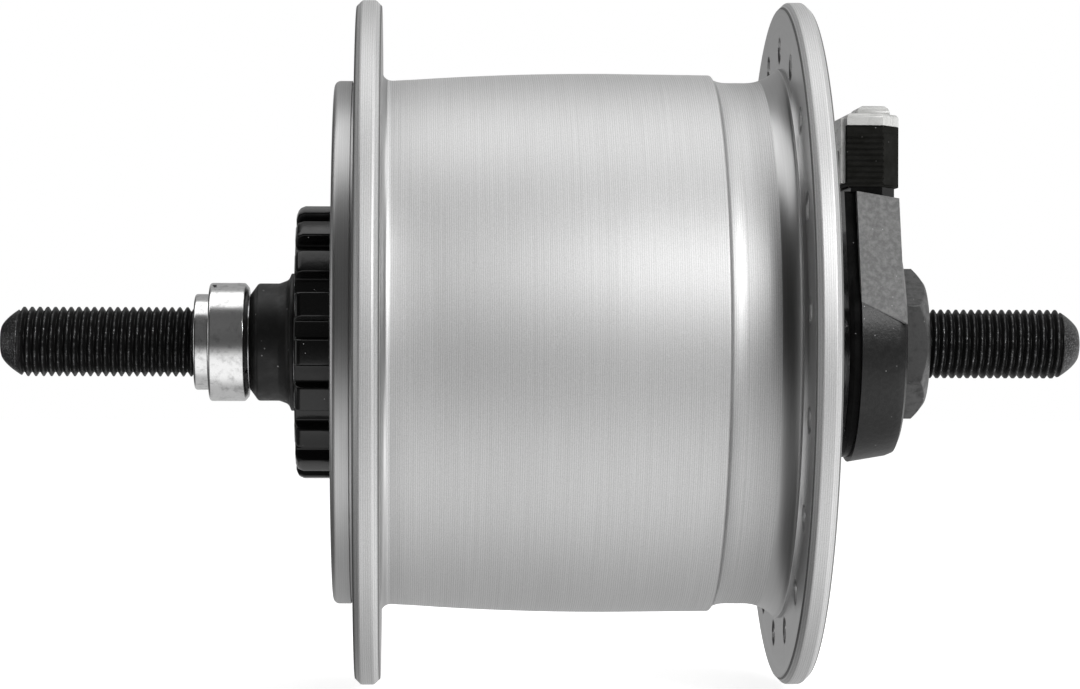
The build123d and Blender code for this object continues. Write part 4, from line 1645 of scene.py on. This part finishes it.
@dataclass
class InnerWorks:
    """CAD nodes that are carried over, each with its own finish."""

    bearing_nodes: tuple[str, ...] = (
        "left_cone",
        "right_cone",
        "left_bearing_cup",
        "right_bearing_cup",
        "left_bearing_balls",
        "right_bearing_balls",
        "stator_key",
        "spacer_sleeve",
    )
    plated_nodes: tuple[str, ...] = (
        "stator_clamp_nuts",
        "lock_washer",
        "left_ball_cage",
        "right_ball_cage",
    )
    iron_nodes: tuple[str, ...] = ("stator_core", "left_claw_yoke", "right_claw_yoke", "magnet_iron_ring")
    rubber_nodes: tuple[str, ...] = ("shell_seam_ring", "left_lip_seal", "right_dust_seal")
    brass_nodes: tuple[str, ...] = ("earth_contact", "signal_contact")

    @staticmethod
    def paint(nodes: Sequence[str], material: bpy.types.Material) -> None:
        """Give some CAD nodes one material.

        Args:
            nodes: Names of the nodes.
            material: The material.
        """
        for node in nodes:
            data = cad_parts[node].data
            data.materials.clear()
            data.materials.append(material)
            LOG.info("%s: CAD node with %s", node, material.name)

    def dress(self) -> None:
        """Give every carried-over node its finish."""
        ground = PlatedSteel(
            colour=(0.62, 0.62, 0.63), stain=(0.5, 0.5, 0.51), metallic=1.0, roughness=0.22, lines_per_mm=6.0
        )
        self.paint(self.bearing_nodes, ground.material("ground_steel"))
        self.paint(self.plated_nodes, PlatedSteel().material("inner_plating"))
        iron = PlatedSteel(
            colour=(0.22, 0.22, 0.225),
            stain=(0.13, 0.12, 0.115),
            metallic=0.9,
            roughness=0.5,
            lines_per_mm=1.2,
        )
        self.paint(self.iron_nodes, iron.material("soft_iron"))
        self.paint(self.rubber_nodes, DullRubber().material("seal_rubber"))
        brass = PlatedSteel(
            colour=(0.72, 0.55, 0.26), stain=(0.58, 0.42, 0.2), metallic=1.0, roughness=0.3, lines_per_mm=2.0
        )
        self.paint(self.brass_nodes, brass.material("contact_brass"))
        self.paint(["coil_winding"], WoundCopper().material("wound_copper"))
        nylon = MouldedPlastic(colour=(0.6, 0.56, 0.44), light=(0.7, 0.66, 0.55), roughness=0.4)
        self.paint(["coil_bobbin"], nylon.material("bobbin_nylon"))
        ferrite = MouldedPlastic(
            colour=(0.035, 0.035, 0.038), light=(0.07, 0.07, 0.072), roughness=0.55, grain_depth=0.02
        )
        self.paint(["pole_magnets"], ferrite.material("pressed_ferrite"))
        sheath = MouldedPlastic(colour=(0.3, 0.03, 0.02), light=(0.38, 0.05, 0.03), roughness=0.4)
        self.paint(["winding_lead"], sheath.material("lead_sheath"))


@dataclass(frozen=True)
class Softbox:
    """Soft light that faces the object."""

    name: str
    place: tuple[float, float, float]
    width: float
    height: float
    watts: float

    def hang(self) -> bpy.types.Object:
        """Hang the light.

        Returns:
            The light.
        """
        data = bpy.data.lights.new(self.name, "AREA")
        data.shape = "RECTANGLE"
        data.size = self.width * MM
        data.size_y = self.height * MM
        data.energy = self.watts
        light = bpy.data.objects.new(self.name, data)
        light.location = Vector(self.place) * MM
        light.rotation_euler = (-light.location).to_track_quat("-Z", "Y").to_euler()
        bpy.context.scene.collection.objects.link(light)
        return light


@dataclass
class Studio:
    """Camera, floor, background and lights."""

    camera_x: float = -18.12
    camera_distance: float = 448.8
    focal_pixels: float = 3455.0
    image_width: float = 1080.0
    image_height: float = 689.0
    axle_row: float = 342.8
    yaw: float = 0.0396
    roll: float = 0.0027
    sensor_width: float = 36.0
    clip_start: float = 10.0
    floor_size: float = 3000.0
    floor_cells: int = 4
    floor_gap: float = 0.1
    front_glow: float = 0.13
    back_glow: float = 0.5
    table_glow: float = 1.52
    far_table_glow: float = 0.72
    left_share: float = 0.15
    right_gain: float = 1.2
    left_gain: float = 1.6
    front_ramp: Ramp = (0.1, 0.62)
    back_ramp: Ramp = (-0.2, 0.4)
    behind_ramp: Ramp = (-0.35, 0.15)
    flag_start_ramp: Ramp = (-0.97, -0.85)
    flag_end_ramp: Ramp = (-0.5, -0.3)
    far_left_ramp: Ramp = (0.9, 0.99)
    right_ramp: Ramp = (0.3, 0.8)
    overhead: Softbox = Softbox("overhead", (0.0, 20.0, 620.0), 1300.0, 480.0, 2.75)
    front_right: Softbox = Softbox("front_right", (380.0, -650.0, 400.0), 300.0, 300.0, 5.3)

    def camera(self) -> bpy.types.Object:
        """Put the camera where the photograph was taken.

        Returns:
            The camera.
        """
        data = bpy.data.cameras.new("camera")
        data.sensor_width = self.sensor_width
        data.sensor_fit = "HORIZONTAL"
        data.lens = self.focal_pixels / self.image_width * self.sensor_width
        data.clip_start = self.clip_start * MM
        pitch = (self.image_height / 2 - self.axle_row) / self.focal_pixels
        ahead = Vector((math.sin(self.yaw), math.cos(self.yaw), -pitch)).normalized()
        right = ahead.cross(Vector((0, 0, 1))).normalized()
        up = right.cross(ahead)
        tilted_right = right * math.cos(self.roll) + up * math.sin(self.roll)
        tilted_up = up * math.cos(self.roll) - right * math.sin(self.roll)
        turn = Matrix((tilted_right, tilted_up, -ahead)).transposed().to_4x4()
        camera = bpy.data.objects.new("camera", data)
        place = Vector((self.camera_x, -self.camera_distance, 0)) * MM
        camera.matrix_world = Matrix.Translation(place) @ turn
        bpy.context.scene.collection.objects.link(camera)
        bpy.context.scene.camera = camera
        return camera

    def floor(self) -> bpy.types.Object:
        """Lay the floor just under the flanges.

        Returns:
            The floor.
        """
        build = bmesh.new()
        half = self.floor_size / 2
        bmesh.ops.create_grid(build, x_segments=self.floor_cells, y_segments=self.floor_cells, size=half)
        floor = Maker.piece("studio_floor", build)
        floor.location.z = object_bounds()[0][2] - self.floor_gap * MM
        floor.data.materials.append(PaleFloor().material("pale_floor"))
        floor.visible_glossy = False
        floor.visible_shadow = False
        floor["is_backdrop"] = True
        return floor

    def radiance(self, x: Reading, y: Reading, z: Reading) -> Reading:
        """Brightness of the room in one direction.

        Args:
            x: The direction's part to the right.
            y: Its part away from the camera.
            z: Its part upwards.

        Returns:
            The brightness: a bright table below, a darker room above, and a dark flag on the left.
        """
        front = (z * -1.0).step(*self.front_ramp) * (self.table_glow - self.front_glow) + self.front_glow
        back = z.step(*self.back_ramp) * (self.back_glow - self.far_table_glow) + self.far_table_glow
        behind = y.step(*self.behind_ramp)
        shade = x.step(*self.flag_start_ramp) * (1.0 - x.step(*self.flag_end_ramp))
        flag = shade * (1.0 - self.left_share)
        far_left = (x * -1.0).step(*self.far_left_ramp) * self.left_gain
        side = (1.0 - flag) * (x.step(*self.right_ramp) * self.right_gain + far_left + 1.0)
        return (front + behind * (back - front)) * side

    def background(self) -> None:
        """Show white behind the object, and light it from a room that the camera doesn't see."""
        world = bpy.data.worlds.new("studio")
        bpy.context.scene.world = world
        world.use_nodes = True
        room = Wiring(world.node_tree)
        output = room.node("ShaderNodeOutputWorld")
        seen = room.node("ShaderNodeBackground", None, {0: (1.0, 1.0, 1.0), 1: 1.0})
        where = room.node("ShaderNodeTexCoord").outputs["Generated"]
        parts = room.node("ShaderNodeSeparateXYZ", None, {0: where}).outputs
        x, y, z = (Reading(room, part) for part in parts)
        glow = room.node("ShaderNodeBackground", None, {1: self.radiance(x, y, z)})
        path = room.node("ShaderNodeLightPath").outputs["Is Camera Ray"]
        mix = room.node("ShaderNodeMixShader", None, {0: path, 1: glow.outputs[0], 2: seen.outputs[0]})
        room.tree.links.new(mix.outputs[0], output.inputs[0])

    def set_up(self) -> None:
        """Make the camera, the floor, the background and the lights."""
        self.camera()
        self.floor()
        self.background()
        self.overhead.hang()
        self.front_right.hang()
        bpy.context.scene.view_settings.view_transform = "Standard"
        LOG.info("studio is set up")


def main() -> None:
    """Build every sub-assembly in order."""
    logging.basicConfig(level=logging.INFO, format="%(relativeCreated)8.0f ms %(message)s")
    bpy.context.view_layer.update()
    Studio().set_up()
    ThreadedAxle().dress()
    BrakeSide().dress()
    TurnedShell().dress()
    Connector().dress()
    InnerWorks().dress()


if __name__ == "__main__":
    main()
